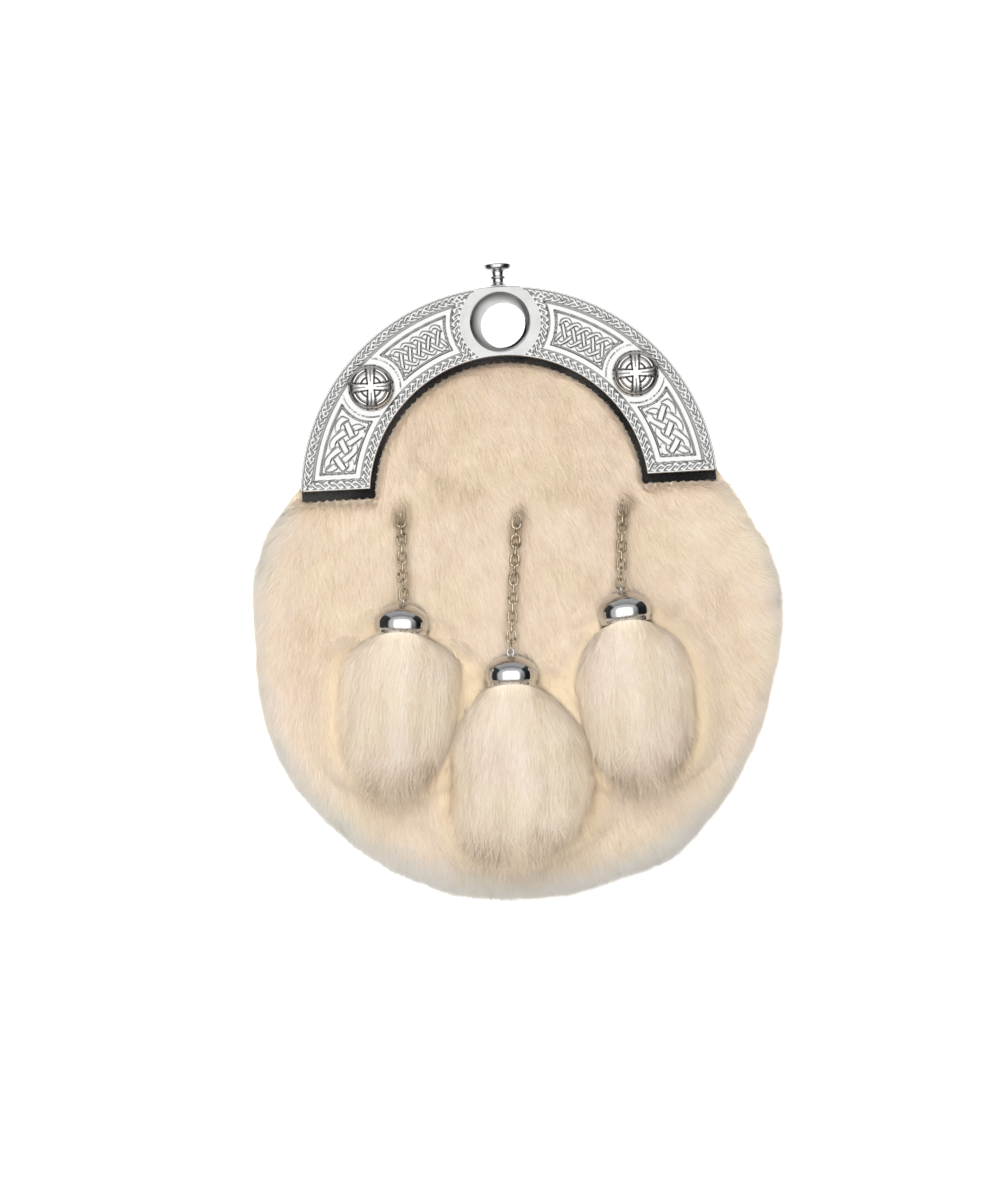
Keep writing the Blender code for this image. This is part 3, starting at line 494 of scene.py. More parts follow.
# ------------------------------------------------------------------ fur pelt
# Cream fur, brushed down and a little outwards, covers the front panel, fills the arch under the
# cantle and hangs past the leather's edge. Under the cantle it is shaved down to the skin, and
# three tassels, the middle one lower, press it down.
PELT_LIFT, SKIN = 0.0014, 0.0014
BAND_IN, BAND_OUT, BAND_END = 0.0504, 0.0784, 0.0018     # what hides the shaved fur
FLOW_FROM_X, FLOW_FROM_Y = -0.100, 0.330     # the hairs fan out from this far place
FUR_R, FUR_DEPTH = 0.0978, 0.0060
SHELTER_REACH, SHELTER_RISE = 0.0120, 0.0036     # beside a tassel the fur stands higher
FLANK_RISE = 0.0012          # and higher still at the pelt's flanks
PRESSED = 0.93               # the share of its depth that a tassel presses down
PELT_EDGE_Z, EDGE_ROUNDING = 0.0125, 0.014
PELT_HAIRS, HAIR_WIDTH = 1.42e7, 0.00015     # hairs for each square metre, and their width
HAIR_LOWEST_Z = 0.0008       # no hair hangs lower
LOBES = (
    # degrees, height and half width in degrees of each swelling of the edge
    (-150, 0.0024, 20), (-106, 0.0024, 14), (-58, 0.0028, 9), (-9, -0.0014, 9),
    (12, 0.0009, 9), (30, -0.0008, 9), (160, 0.0020, 13),
)
CAP_R, CAP_CLEAR = 0.0101, 0.0009
TASSEL_NECK = 0.42
Tassel = namedtuple("Tassel", "side cap_x cap_y lean length half_wide belly bow links")
TASSELS = (
    # the cap is placed from the arc centre, the lean is in degrees, the belly is where it is
    # widest, and the bow is how far its middle lies to the right of its axis at 0.15, 0.55, 0.85
    # and 1 of its length
    Tassel("left", -0.0428, -0.0500, -5.5, 0.0590, 0.0240, 0.29,
           (0.0009, 0.0004, -0.0009, -0.0012), 9),
    Tassel("centre", -0.0032, -0.0712, -1.5, 0.0655, 0.0272, 0.54,
           (0.0014, 0.0032, 0.0007, -0.0046), 14),
    Tassel("right", 0.0405, -0.0500, 5.0, 0.0610, 0.0230, 0.42,
           (0.0000, -0.0010, -0.0011, -0.0006), 9),
)


def tassel_width(share, belly):
    """Width at a share of the length, over the widest: a swelling neck, then a rounded foot."""
    share = np.clip(share, 0.0, 1.0)
    neck = 1.0 - (1.0 - TASSEL_NECK) * (np.maximum(belly - share, 0.0) / belly) ** 2.8
    foot = (1.0 - (np.maximum(share - belly, 0.0) / (1.0 - belly)) ** 3.3) ** 0.55
    return np.where(share < belly, neck, foot)


def tassel_frame(row):
    """The middle of a cap's mouth, and the way along its tassel."""
    y = ARC_CENTRE_Y + row.cap_y
    z = float(front_face(row.cap_x, y)) + PELT_LIFT + SKIN + CAP_R + CAP_CLEAR
    angle = math.radians(row.lean)
    return Vector((row.cap_x, y, z)), Vector((math.sin(angle), -math.cos(angle), 0.0))


def bowed(row, share):
    """How far the tassel's middle lies to the right of its axis."""
    return np.interp(share, (0.0, 0.15, 0.55, 0.85, 1.0), (0.0, *row.bow))


def on_tassel(row, x, y):
    """How far a place is along a tassel and beside its middle."""
    mouth, way = tassel_frame(row)
    along = (x - mouth.x) * way.x + (y - mouth.y) * way.y
    aside = (y - mouth.y) * way.x - (x - mouth.x) * way.y
    return along, np.abs(aside - bowed(row, along / row.length))


def smooth(value, low, high):
    share = np.clip((value - low) / (high - low), 0.0, 1.0)
    return share * share * (3.0 - 2.0 * share)


def link_middle(side, count):
    low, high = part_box(f"chain_{side}_link_{count:02d}")
    return (low + high) / 2


def from_line(x, y, start, span):
    """How far a place is from a line, and the share of the line's length there."""
    (ax, ay), (run_x, run_y) = start, span
    share = np.clip(((x - ax) * run_x + (y - ay) * run_y) / (run_x ** 2 + run_y ** 2), 0.0, 1.0)
    return np.hypot(x - ax - share * run_x, y - ay - share * run_y), share


def pressed(x, y):
    """0 on open fur and 1 under a tassel, its cap or its chain."""
    most = np.zeros_like(x)
    for row in TASSELS:
        along, across = on_tassel(row, x, y)
        share = along / row.length
        wide = row.half_wide * tassel_width(share, row.belly)
        body = (1.0 - smooth(across, wide * 0.68, wide * 0.98 + 0.0006))
        body *= smooth(along, -0.004, 0.006) * (1.0 - smooth(share, 0.74, 0.94))
        cap = 1.0 - smooth(np.hypot(along + 0.004, across), CAP_R * 0.62, CAP_R * 1.08)
        first, last = link_middle(row.side, 1), link_middle(row.side, row.links)
        off, share = from_line(x, y, first.xy, (last - first).xy)
        chain = (1.0 - smooth(off, 0.0010, 0.0045)) * (0.15 + 0.30 * share)
        most = np.maximum(most, np.maximum(np.maximum(body, cap), chain))
    return most


def fur_reach(degrees):
    """The pelt's own edge, under the hairs: a circle with soft, uneven lobes."""
    angle = np.radians(degrees)
    lobes = 0.0006 * np.sin(5 * angle + 0.6) + 0.0005 * np.sin(9 * angle + 2.1)
    for middle, height, wide in LOBES:
        lobes += height * np.exp(-((degrees - middle) / wide) ** 2)
    droop = 0.0008 * smooth(-np.sin(angle), 0.2, 1.0)
    return FUR_R + lobes - droop


def from_band(x, y):
    """How far a place is from the cantle's backing, and 0 under it."""
    radius = np.hypot(x, y - ARC_CENTRE_Y)
    beside = np.maximum(BAND_IN - radius, radius - BAND_OUT)
    below = ARC_CENTRE_Y + BAND_END - y
    return np.where(below > 0, np.hypot(np.maximum(beside, 0.0), below),
                    np.maximum(beside, 0.0))


def sheltered(x, y):
    """1 close beside a tassel, 0 a little way off, and up to 2 between two of them."""
    total = np.zeros_like(x)
    for row in TASSELS:
        along, across = on_tassel(row, x, y)
        share = np.clip(along / row.length, 0.0, 0.97)
        wide = row.half_wide * np.maximum(tassel_width(share, row.belly), 0.3)
        beyond = np.maximum(along - row.length * 0.94, 0.0) + np.maximum(-0.004 - along, 0.0)
        off = np.hypot(np.maximum(across - wide, 0.0), 1.8 * beyond)
        total += 1.0 - smooth(off, 0.0, SHELTER_REACH)
    return np.minimum(total, 2.0)


def fur_bed(x, y, inset):
    """Height of the pelt under its hairs, inset from its own edge."""
    skin = front_face(x, y) + PELT_LIFT + SKIN
    depth = FUR_DEPTH * smooth(from_band(x, y), -0.0004, 0.0022)
    depth += (SHELTER_RISE + FLANK_RISE * smooth(np.abs(x), 0.045, 0.070)) * sheltered(x, y)
    depth *= 1.0 - PRESSED * pressed(x, y)
    rounding = np.clip((EDGE_ROUNDING - inset) / EDGE_ROUNDING, 0.0, 1.0)
    full = skin + depth + 0.0002
    rounded = PELT_EDGE_Z + (full - PELT_EDGE_Z) * np.sqrt(1.0 - rounding ** 2)
    return np.where(rounding > 0, rounded, full)


def pelt_bed():
    """The pelt without its hairs: over the front, round the edge and back under it."""
    spokes = 240
    degrees = np.arange(spokes) * 360.0 / spokes + 90.0
    way = ways_out(np.radians(degrees))
    leather = pouch_reach(degrees, LEATHER_R + 0.0008)
    reach = np.maximum(fur_reach((degrees + 180.0) % 360.0 - 180.0), pouch_reach(degrees, 0.0))
    shoulder = smooth(degrees % 360.0, 8.0, 26.0) * (1 - smooth(degrees % 360.0, 154.0, 172.0))
    rings = []
    for share in np.concatenate([np.linspace(0.02, 0.84, 56), np.linspace(0.855, 0.995, 14)]):
        x, y = way[:, 0] * share * reach, way[:, 1] * share * reach + POUCH_Y
        rings.append(np.stack([x, y, fur_bed(x, y, (1.0 - share) * reach)], 1))
    thin = FRONT_RIM_Z + PELT_LIFT + 0.0008
    for share, drop in ((1.0, 0.0), (0.995, 0.0018), (0.97, 0.0042), (0.94, 0.0058)):
        radius = leather + (reach - leather) * np.clip(share * 8.0 - 7.0, 0.0, 1.0)
        x, y = way[:, 0] * radius, way[:, 1] * radius + POUCH_Y
        rings.append(np.stack([x, y, (PELT_EDGE_Z - drop) * (1 - shoulder)
                               + (thin - drop * 0.05) * shoulder], 1))
    for share in (1.0, 0.8, 0.6, 0.4, 0.2):
        x, y = way[:, 0] * leather * share, way[:, 1] * leather * share + POUCH_Y
        rings.append(np.stack([x, y, front_face(x, y) + PELT_LIFT * 0.6], 1))
    top = float(fur_bed(np.array(0.0), np.array(POUCH_Y), np.array(0.09)))
    under = float(front_face(0.0, POUCH_Y)) + PELT_LIFT * 0.6
    return lofted(rings, [(0.0, POUCH_Y, top), (0.0, POUCH_Y, under)])


def normals_of(mesh):
    return np.array([vertex.vector for vertex in mesh.vertex_normals], float)


def places_of(mesh):
    return np.array([vertex.co for vertex in mesh.vertices], float)


def note(mesh, **kept):
    """Keeps a number or a vector for each vertex, under each name."""
    for name, values in kept.items():
        kind, field = ("FLOAT", "value") if values.ndim == 1 else ("FLOAT_VECTOR", "vector")
        layer = mesh.attributes.get(name) or mesh.attributes.new(name, kind, "POINT")
        layer.data.foreach_set(field, values.astype(np.float32).ravel())


def lengths(ways):
    return np.linalg.norm(ways, axis=1, keepdims=True)


def along_surface(flow, normal):
    """A flow turned into the surface, at length 1."""
    flow = flow - normal * np.sum(flow * normal, 1, keepdims=True)
    return flow / np.maximum(lengths(flow), 1e-9)


def times(colour, by):
    """One colour multiplied by another."""
    return colour.node("ShaderNodeMix", {"data_type": "RGBA", "blend_type": "MULTIPLY"},
                       {"Factor": 1.0, 6: colour, 7: by}, out=2)


def tinted(colour):
    """Painted shade tint: peach where the mesh's tint number is over 0, a painted warm light in the
    shade beside the tassels, and grey where it is under, a painted cool shade at the pelt's edge.
    """
    warm = colour.kept("warm")
    colour = warm.blend(colour, (1.0, 0.87, 0.665, 1.0))
    return (0.0 - warm).blend(colour, (0.61, 0.64, 0.66, 1.0))


def fur_finish(name, stops, tip_light):
    """Hair: its tone picks a colour, the painted shade tint goes over it, and it pales to its tip."""
    made, place = new_finish(name, 0.62, Specular_IOR_Level=0.25, Sheen_Weight=0.25,
                             Sheen_Roughness=0.5)
    tone, along = place.kept("tone"), place.kept("along")
    colour = tone.node("ShaderNodeValToRGB", {"stops": stops}, {"Fac": tone})
    patch = place.noise(38.0, 2.0).step(0.35, 0.65)
    colour = times(colour, patch.blend((1.0, 0.985, 0.99, 1.0), (1.0, 0.995, 0.95, 1.0)))
    colour = tinted(colour)
    return dressed(made, Base_Color=along.step(0.0, 0.7).blend(
        times(colour, (0.86, 0.80, 0.74, 1.0)), times(colour, tip_light)))


def bed_finish(name, low, high):
    """The short underfur between the hairs, streaked down the pelt, with the painted shade tint over
    it.
    """
    made, place = new_finish(name, 0.8, Specular_IOR_Level=0.1)
    down = place.node("ShaderNodeMapping", {}, {"Vector": place, "Scale": (1.0, 0.12, 1.0)})
    streak = down.noise(1500.0, 3.0)
    return dressed(made, streak, 0.0004,
                   Base_Color=tinted(streak.step(0.3, 0.7).blend(low, high)))


def moved(geometry, **by):
    """A geometry with its points put at a Position or moved by an Offset."""
    return geometry.node("GeometryNodeSetPosition", {}, {"Geometry": geometry, **by})


def keeping(geometry, name, value, domain, kind="FLOAT"):
    """A geometry that keeps a value under a name."""
    return geometry.node("GeometryNodeStoreNamedAttribute", {"domain": domain, "data_type": kind},
                         {"Geometry": geometry, "Name": name, "Value": value})


def laid(axes, one, two, by):
    """A rotation that lays two axes along two ways, and then turns in its own frame."""
    lie = one.node("FunctionNodeAxesToRotation", {
        "primary_axis": axes[0], "secondary_axis": axes[1]}, {
            "Primary Axis": one, "Secondary Axis": two})
    return lie.node("FunctionNodeRotateRotation", {"rotation_space": "LOCAL"},
                    {"Rotation": lie, "Rotate By": by})


def fur_recipe():
    """Flat hairs on a bed: each lies along the bed's flow, lifts a little and bends back down."""
    recipe = Recipe("fur", {"Hairs per square metre": 1.0e6, "Seed": 1, "Hair width": HAIR_WIDTH,
                            "Sway degrees": 15.0, "Wisp size": 130.0, "Drift": 0.26,
                            "Joints": 2})
    hairs = recipe.start("GeometryNodeDistributePointsOnFaces", {}, {
        "Mesh": recipe.size("Geometry"), "Seed": recipe.size("Seed"),
        "Density": recipe.size("Hairs per square metre") * recipe.attribute("growth")})
    upright = hairs.other("Normal")
    place = hairs.node("GeometryNodeInputPosition")
    wisp = place.noise(recipe.size("Wisp size"), 1.0)
    fine = place.noise(recipe.size("Wisp size") * 3.7, 1.0)
    slow = place.noise(recipe.size("Wisp size") * 0.4, 1.0)

    def any_of(low, high, salt):
        return place.node("FunctionNodeRandomValue", {"data_type": "FLOAT"}, {
            2: low, 3: high, "Seed": recipe.size("Seed") + salt}, out=1)
    radian = math.pi / 180.0
    sway = ((wisp - 0.5) * 2.2 + (slow - 0.5) * 3.0 + (fine - 0.5) * 1.2
            + any_of(-0.8, 0.8, 11)) * recipe.size("Sway degrees") * radian \
        * recipe.attribute("loose")
    lift = recipe.attribute("lift") * (0.55 + 0.9 * fine) * any_of(0.6, 1.5, 12)
    turn = laid("ZY", upright, recipe.attribute("flow", "FLOAT_VECTOR"),
                place.vector(X=lift, Y=any_of(-0.5, 0.5, 13), Z=sway))
    reach = recipe.attribute("reach") * any_of(0.6, 1.2, 14)
    size = place.vector(X=recipe.size("Hair width") * any_of(0.7, 1.3, 15), Y=reach, Z=reach)
    flat = place.node("GeometryNodeMeshGrid", {}, {
        "Size X": 1.0, "Size Y": 1.0, "Vertices X": 2, "Vertices Y": recipe.size("Joints")})
    up = place.part("Y") + 0.5
    hair = moved(flat, Position=flat.vector(X=place.part("X") * (1.0 - up), Y=up))
    hair = hair.node("GeometryNodeMergeByDistance", {}, {"Geometry": hair, "Distance": 1e-4})
    hair = keeping(hair, "along", place.part("Y"), "POINT")
    tone = recipe.attribute("tone") + (any_of(-0.5, 0.5, 16) * 0.60 + (wisp + slow - 1.0)
                                       * recipe.size("Drift"))
    grown = planted(hairs, hair, Rotation=turn, Scale=size)
    for name, kind, value in (("tone", "FLOAT", tone.maths("MAXIMUM", 0.01)),
                              # the painted shade tint rides on each hair with its tone
                              ("warm", "FLOAT", recipe.attribute("warm")),
                              ("upright", "FLOAT_VECTOR", upright), ("length", "FLOAT", reach)):
        grown = keeping(grown, name, value, "INSTANCE", kind)
    grown = grown.node("GeometryNodeRealizeInstances", {}, {"Geometry": grown})
    run = recipe.attribute("along") * recipe.attribute("length")
    fall = 0.0 - recipe.attribute("bend") * run * run
    grown = moved(grown, Offset=grown.node("ShaderNodeVectorMath", {"operation": "SCALE"}, {
        "Vector": recipe.attribute("upright", "FLOAT_VECTOR"), "Scale": fall}))
    below = HAIR_LOWEST_Z - grown.node("GeometryNodeInputPosition").part("Z")
    grown = moved(grown, Offset=grown.vector(Z=below.maths("MAXIMUM", 0.0)))
    return recipe, keeping(grown, "OFBake", grown.vector(
        X=recipe.attribute("tone"), Y=recipe.attribute("along")), "CORNER", "FLOAT2")


PELT_STOPS = (
    (0.0, (0.20, 0.16, 0.12)), (0.22, (0.57, 0.46, 0.34)), (0.5, (0.87, 0.73, 0.57)),
    (0.78, (0.95, 0.85, 0.72)), (1.0, (0.99, 0.95, 0.88)),
)
PELT_FUR = fur_finish("pelt_fur", PELT_STOPS, (1.0, 0.99, 0.97, 1.0))
PELT_BED = bed_finish("pelt_underfur", (0.74, 0.60, 0.45, 1.0), (0.88, 0.74, 0.57, 1.0))


def grow(name, mesh, finish, slot, **sizes):
    """Hairs on a bed that carries growth, flow, reach, lift, bend, loose, tone and a painted shade
    tint.
    """
    recipe, grown = fur_recipe()
    recipe.end(grown, finish)
    hairs = recipe.run(mesh, **sizes)
    for spent in ("upright", "length", "growth", "flow", "reach", "lift", "bend", "loose"):
        if spent in hairs.attributes:
            hairs.attributes.remove(hairs.attributes[spent])
    return show(name, hairs, finish, slot, smooth_deg=180.0)


COWLICK = ((-0.0346, 0.0501), (-0.0293, 0.0438), (-0.0213, 0.0386), (-0.0099, 0.0349))


def comb_pelt(mesh):
    """How the hairs lie on the pelt, for each vertex of its bed."""
    at, normal = places_of(mesh), normals_of(mesh)
    x, y = at[:, 0], at[:, 1]
    flow = np.stack([x - FLOW_FROM_X, y - FLOW_FROM_Y, np.zeros_like(x)], 1)
    flow /= lengths(flow)
    outward = np.stack([x, y - POUCH_Y, np.zeros_like(x)], 1)
    radius = np.maximum(lengths(outward), 1e-6)
    below_arch = (y < ARC_CENTRE_Y + BAND_END)[:, None]
    rim = smooth(radius, 0.080, 0.096) * below_arch
    flow = flow + rim * (0.50 * outward / radius + np.array([0.0, 0.0, -0.20]))
    rim = rim[:, 0]
    band, press = from_band(x, y), pressed(x, y)
    away = np.stack([x, y - ARC_CENTRE_Y, 0 * x], 1)
    away /= np.maximum(lengths(away), 1e-6)
    in_arch = (1.0 - smooth(band, 0.0, 0.006)) * (y > ARC_CENTRE_Y + BAND_END) \
        * (np.hypot(x, y - ARC_CENTRE_Y) < BAND_IN + 0.001)
    flow -= away * (np.maximum(np.sum(flow * away, 1) + 0.25, 0.0) * in_arch)[:, None]
    on_top = smooth(normal[:, 2], -0.75, -0.35)
    tuft = 0.0 * x
    for row in TASSELS:
        root = link_middle(row.side, row.links)
        off = np.hypot((x - root.x) * 1.3, (y - root.y - 0.0035) * 0.70)
        tuft = np.maximum(tuft, 1.0 - smooth(off, 0.0010, 0.0068))
    near = smooth(band, 0.0, 0.008)
    cowlick = [from_line(x, y, (ax, ay), (bx - ax, by - ay))[0]
               for (ax, ay), (bx, by) in zip(COWLICK, COWLICK[1:])]
    crease = np.exp(-(np.min(cowlick, 0) / 0.0022) ** 2)
    shelter = np.minimum(sheltered(x, y), 1.0)
    arch = 0.055 * smooth(y, ARC_CENTRE_Y - 0.012, ARC_CENTRE_Y + 0.008)
    edge = smooth(radius + 0.006 * smooth(POUCH_Y - y, 0.02, 0.09)[:, None], 0.0895, 0.1010)
    edge = (edge * below_arch)[:, 0]
    # Painted light: beside the tassels the tone is lifted and tinted peach to lighten their shade, and
    # the lower edge is tinted grey as painted shade.
    note(mesh, flow=along_surface(flow, normal),
         growth=on_top * np.where(band > 0.0002, 1.0, 0.0) * (1.0 - 0.5 * press),
         reach=0.0040 + 0.0016 * near - 0.0010 * press + 0.0026 * rim + 0.0020 * tuft,
         lift=(0.12 + 0.06 * near) * (1.0 - 0.55 * press) + 0.16 * rim + 0.15 * tuft,
         bend=4.0 + 6.0 * rim, loose=1.0 + 1.1 * rim + 1.4 * tuft + 1.2 * crease,
         tone=0.65 - 0.40 * tuft - 0.13 * crease + 0.14 * rim + 0.12 * shelter - arch,
         warm=0.92 * shelter ** 2 * (1.0 - edge) - 0.58 * edge)
    return x, y


pelt = pelt_bed()
bed_x, bed_y = comb_pelt(pelt)
show("pelt_underfur", pelt.copy(), PELT_BED, "fur_cream", "fur_pelt", smooth_deg=80.0)
all_growth = np.zeros(len(pelt.vertices), np.float32)
pelt.attributes["growth"].data.foreach_get("value", all_growth)
HAIR_SHARE = 1.0
right, high = smooth(bed_x, -0.001, 0.001), smooth(bed_y, -0.0215, -0.0185)
quarters = (("upper_left", (1 - right) * high), ("upper_right", right * high),
            ("lower_left", (1 - right) * (1 - high)), ("lower_right", right * (1 - high)))
for seed, (quarter, share) in enumerate(quarters, 3):
    patch = pelt.copy()
    note(patch, growth=all_growth * share)
    grow("pelt_fur_" + quarter, patch, PELT_FUR, "fur_cream",
         **{"Hairs per square metre": PELT_HAIRS * HAIR_SHARE, "Seed": seed})

# ------------------------------------------------------------------ pinked backing
# A 2 mm leather plate stiffens the cantle from behind. Its edge is cut with pinking shears, and
# shows as a row of rounded teeth inside the arch and under both ends.
BACKING_Z = FRONT_RIM_Z + PELT_LIFT + SKIN + 0.0003
BACKING_THICK = 0.0020
BACKING_R_OUT, BACKING_R_IN = 0.0780, 0.0504
BACKING_RISE = 0.0018        # its ends, above the arc centre
PINK_PITCH, PINK_DEPTH = 0.0030, 0.0009
RING_RISE = 0.0650           # the round hole through backing and cantle
BACKING_HOLE_R = 0.0094
PLATE_ROUNDING = 0.00022


def round_hole(radius, count=96):
    """Points round the cantle's hole, from the arc's centre."""
    angle = np.arange(count) * 2 * math.pi / count
    return radius * ways_out(angle) + (0.0, RING_RISE)


def closed_plate(loops, low, high, rounding):
    """A plate with rounded edges. Its first loop is the outline and the others are holes."""
    body = bmesh.new()
    rims = [], []
    for order, loop in enumerate(loops):
        ahead, behind = np.roll(loop, -1, 0), np.roll(loop, 1, 0)
        run = ahead - behind
        inside = np.stack([-run[:, 1], run[:, 0]], 1) / np.linalg.norm(run, axis=1)[:, None]
        area = np.sum(loop[:, 0] * ahead[:, 1] - ahead[:, 0] * loop[:, 1])
        if (area > 0) != (order == 0):
            inside = -inside
        levels = []
        for angle in np.radians((0, 30, 60, 90)):
            levels.append((rounding * (1 - math.sin(angle)), low + rounding * (1 - math.cos(angle))))
        levels += [(inset, low + high - z) for inset, z in reversed(levels)]
        rings = [[body.verts.new((x, y + ARC_CENTRE_Y, z)) for x, y in loop + inside * inset]
                 for inset, z in levels]
        for one, two in zip(rings, rings[1:]):
            bridge(body, one, two)
        for rim, ring in zip(rims, (rings[0], rings[-1])):
            rim += [body.edges.get(pair) for pair in zip(ring, ring[1:] + ring[:1])]
    for rim in rims:
        bmesh.ops.triangle_fill(body, edges=rim, use_beauty=True)
    return written(body)


def pinked_outline():
    """The backing's outline, with teeth along the inner arc and the two ends."""
    edge_in, edge_out = (math.asin(BACKING_RISE / r) for r in (BACKING_R_IN, BACKING_R_OUT))
    steps = 8

    def teeth(length):
        count = round(length / PINK_PITCH)
        place = np.arange(count * steps) / (count * steps)
        bite = np.abs(np.sin(math.pi * place * count)) ** 0.75
        return place, PINK_DEPTH * (bite - 0.5)
    span = math.pi - 2 * edge_in
    place, bite = teeth(span * BACKING_R_IN)
    angle = math.pi - edge_in - span * place
    inner = (BACKING_R_IN - bite)[:, None] * ways_out(angle)
    near, far = BACKING_R_IN * math.cos(edge_in), BACKING_R_OUT * math.cos(edge_out)
    place, bite = teeth(far - near)
    end = np.stack([near + (far - near) * place, BACKING_RISE - bite], 1)
    outer = BACKING_R_OUT * ways_out(np.linspace(edge_out, math.pi - edge_out, 160))
    return np.concatenate([inner, end, outer, (end * (-1, 1))[:0:-1]])


CUT_LEATHER = leather_finish("cut_leather", (0.006, 0.006, 0.006, 1.0), (0.050, 0.048, 0.046, 1.0))
show("backing", closed_plate([pinked_outline(), round_hole(BACKING_HOLE_R)], BACKING_Z,
                             BACKING_Z + BACKING_THICK, PLATE_ROUNDING),
     CUT_LEATHER, "leather_black", "cantle_backing")

# ------------------------------------------------------------------ cantle
# The arched top is cast in one piece with a round hole, and bright chrome is plated over it. A
# braid runs round its edge. Four framed panels hold knotwork, and the grooves keep dark polish.
CANTLE_R_OUT, CANTLE_R_IN, CANTLE_RISE = 0.0784, 0.0523, 0.0052
CANTLE_Z = BACKING_Z + BACKING_THICK + 0.0003
CANTLE_THICK = 0.0040
CANTLE_FACE_Z = CANTLE_Z + CANTLE_THICK
HOLE_R_FRONT, HOLE_R_BACK, HOLE_COLLAR = 0.0114, 0.0086, 0.0152
HOLE_LEAN = 0.0013           # the coved wall is wider on one side
COVE_TILTS = 52, 43, 37, 33, 30, 27, 23      # degrees of its steps, from the face down
BOSS_AT_R, BOSS_RISE_DEG, BOSS_COLLAR = 0.0656, 40.9, 0.0124
BORDER_OUT, BORDER_IN, BORDER_END, BORDER_RING = 0.0045, 0.0035, 0.0035, 0.0030
BRAID_OUT_R, BRAID_IN_R = 0.0760, 0.0541     # the middles of the two long braids
PLAIN_RIM = 0.00065
FRAME_GROOVE, FRAME_DEEP, FRAME_WIDE = 0.0006, 0.00045, 0.0017
BOSS_LINE_R, BOSS_LINE = 0.0110, 0.0003      # a line cut round each boss
EDGE_ROUND = 0.0004
PANEL_SINK, BORDER_SINK = 0.00065, 0.00048
STRAND_GAP = 1.3             # a strand is cut away this far beside the one that crosses it
FULL_HOLLOW = 0.00030        # a hollow this deep is fully tarnished
COLLAR_TARNISH, BORDER_TARNISH, DEEP_TARNISH = 0.46, 0.18, 0.12
PANEL_R = 0.0650             # along which the knots are measured
KNOTS = (
    # degrees and radius of its middle, half its length, crossings, sway and half width of a strand
    (61.4, 0.0646, 0.0100, 5, 0.0042, 0.00074),
    (19.4, 0.0648, 0.0098, 3, 0.0043, 0.00122),
)
GRID_AROUND, GRID_ACROSS = 740, 94


def weave(along, across, strands, period, sway, half_wide, pointed):
    """How high a flat plait stands, from 0 on its ground to 1 on a strand that crosses over."""
    high, top = np.zeros_like(along), np.zeros_like(along)
    lead = 0.5 * math.pi if strands % 2 else 0.0
    for strand in range(strands):
        turn = 2 * math.pi * (along / period + strand / strands)
        swing = (1 - pointed) * np.sin(turn) + pointed * np.arcsin(0.97 * np.sin(turn)) / 1.33
        slope = sway * 2 * math.pi / period * np.cos(turn)
        off = (across - sway * swing) / np.sqrt(1 + slope ** 2)
        strand_round = np.maximum(0.0, 1 - (off / half_wide) ** 2) ** 0.35
        level = 0.76 + 0.24 * np.cos((strands - 1) * turn - lead)
        over = (np.abs(off) < half_wide * STRAND_GAP) & (level > top)
        high = np.where(over, strand_round * level, high)
        top = np.where(over, level, top)
    return high


def knot(along, across, half_long, crossings, sway, half_wide):
    """A closed knot of four strands, which flares to points at its ends."""
    period = 8 * half_long / crossings
    flare = 1 + 0.22 * np.abs(along / half_long) ** 3
    shift = period / 8 - half_long
    high = weave(along - shift, across, 4, period, sway * flare, half_wide, 0.55)
    return high * (1 - smooth(np.abs(along), half_long + 0.0001, half_long + 0.0007))


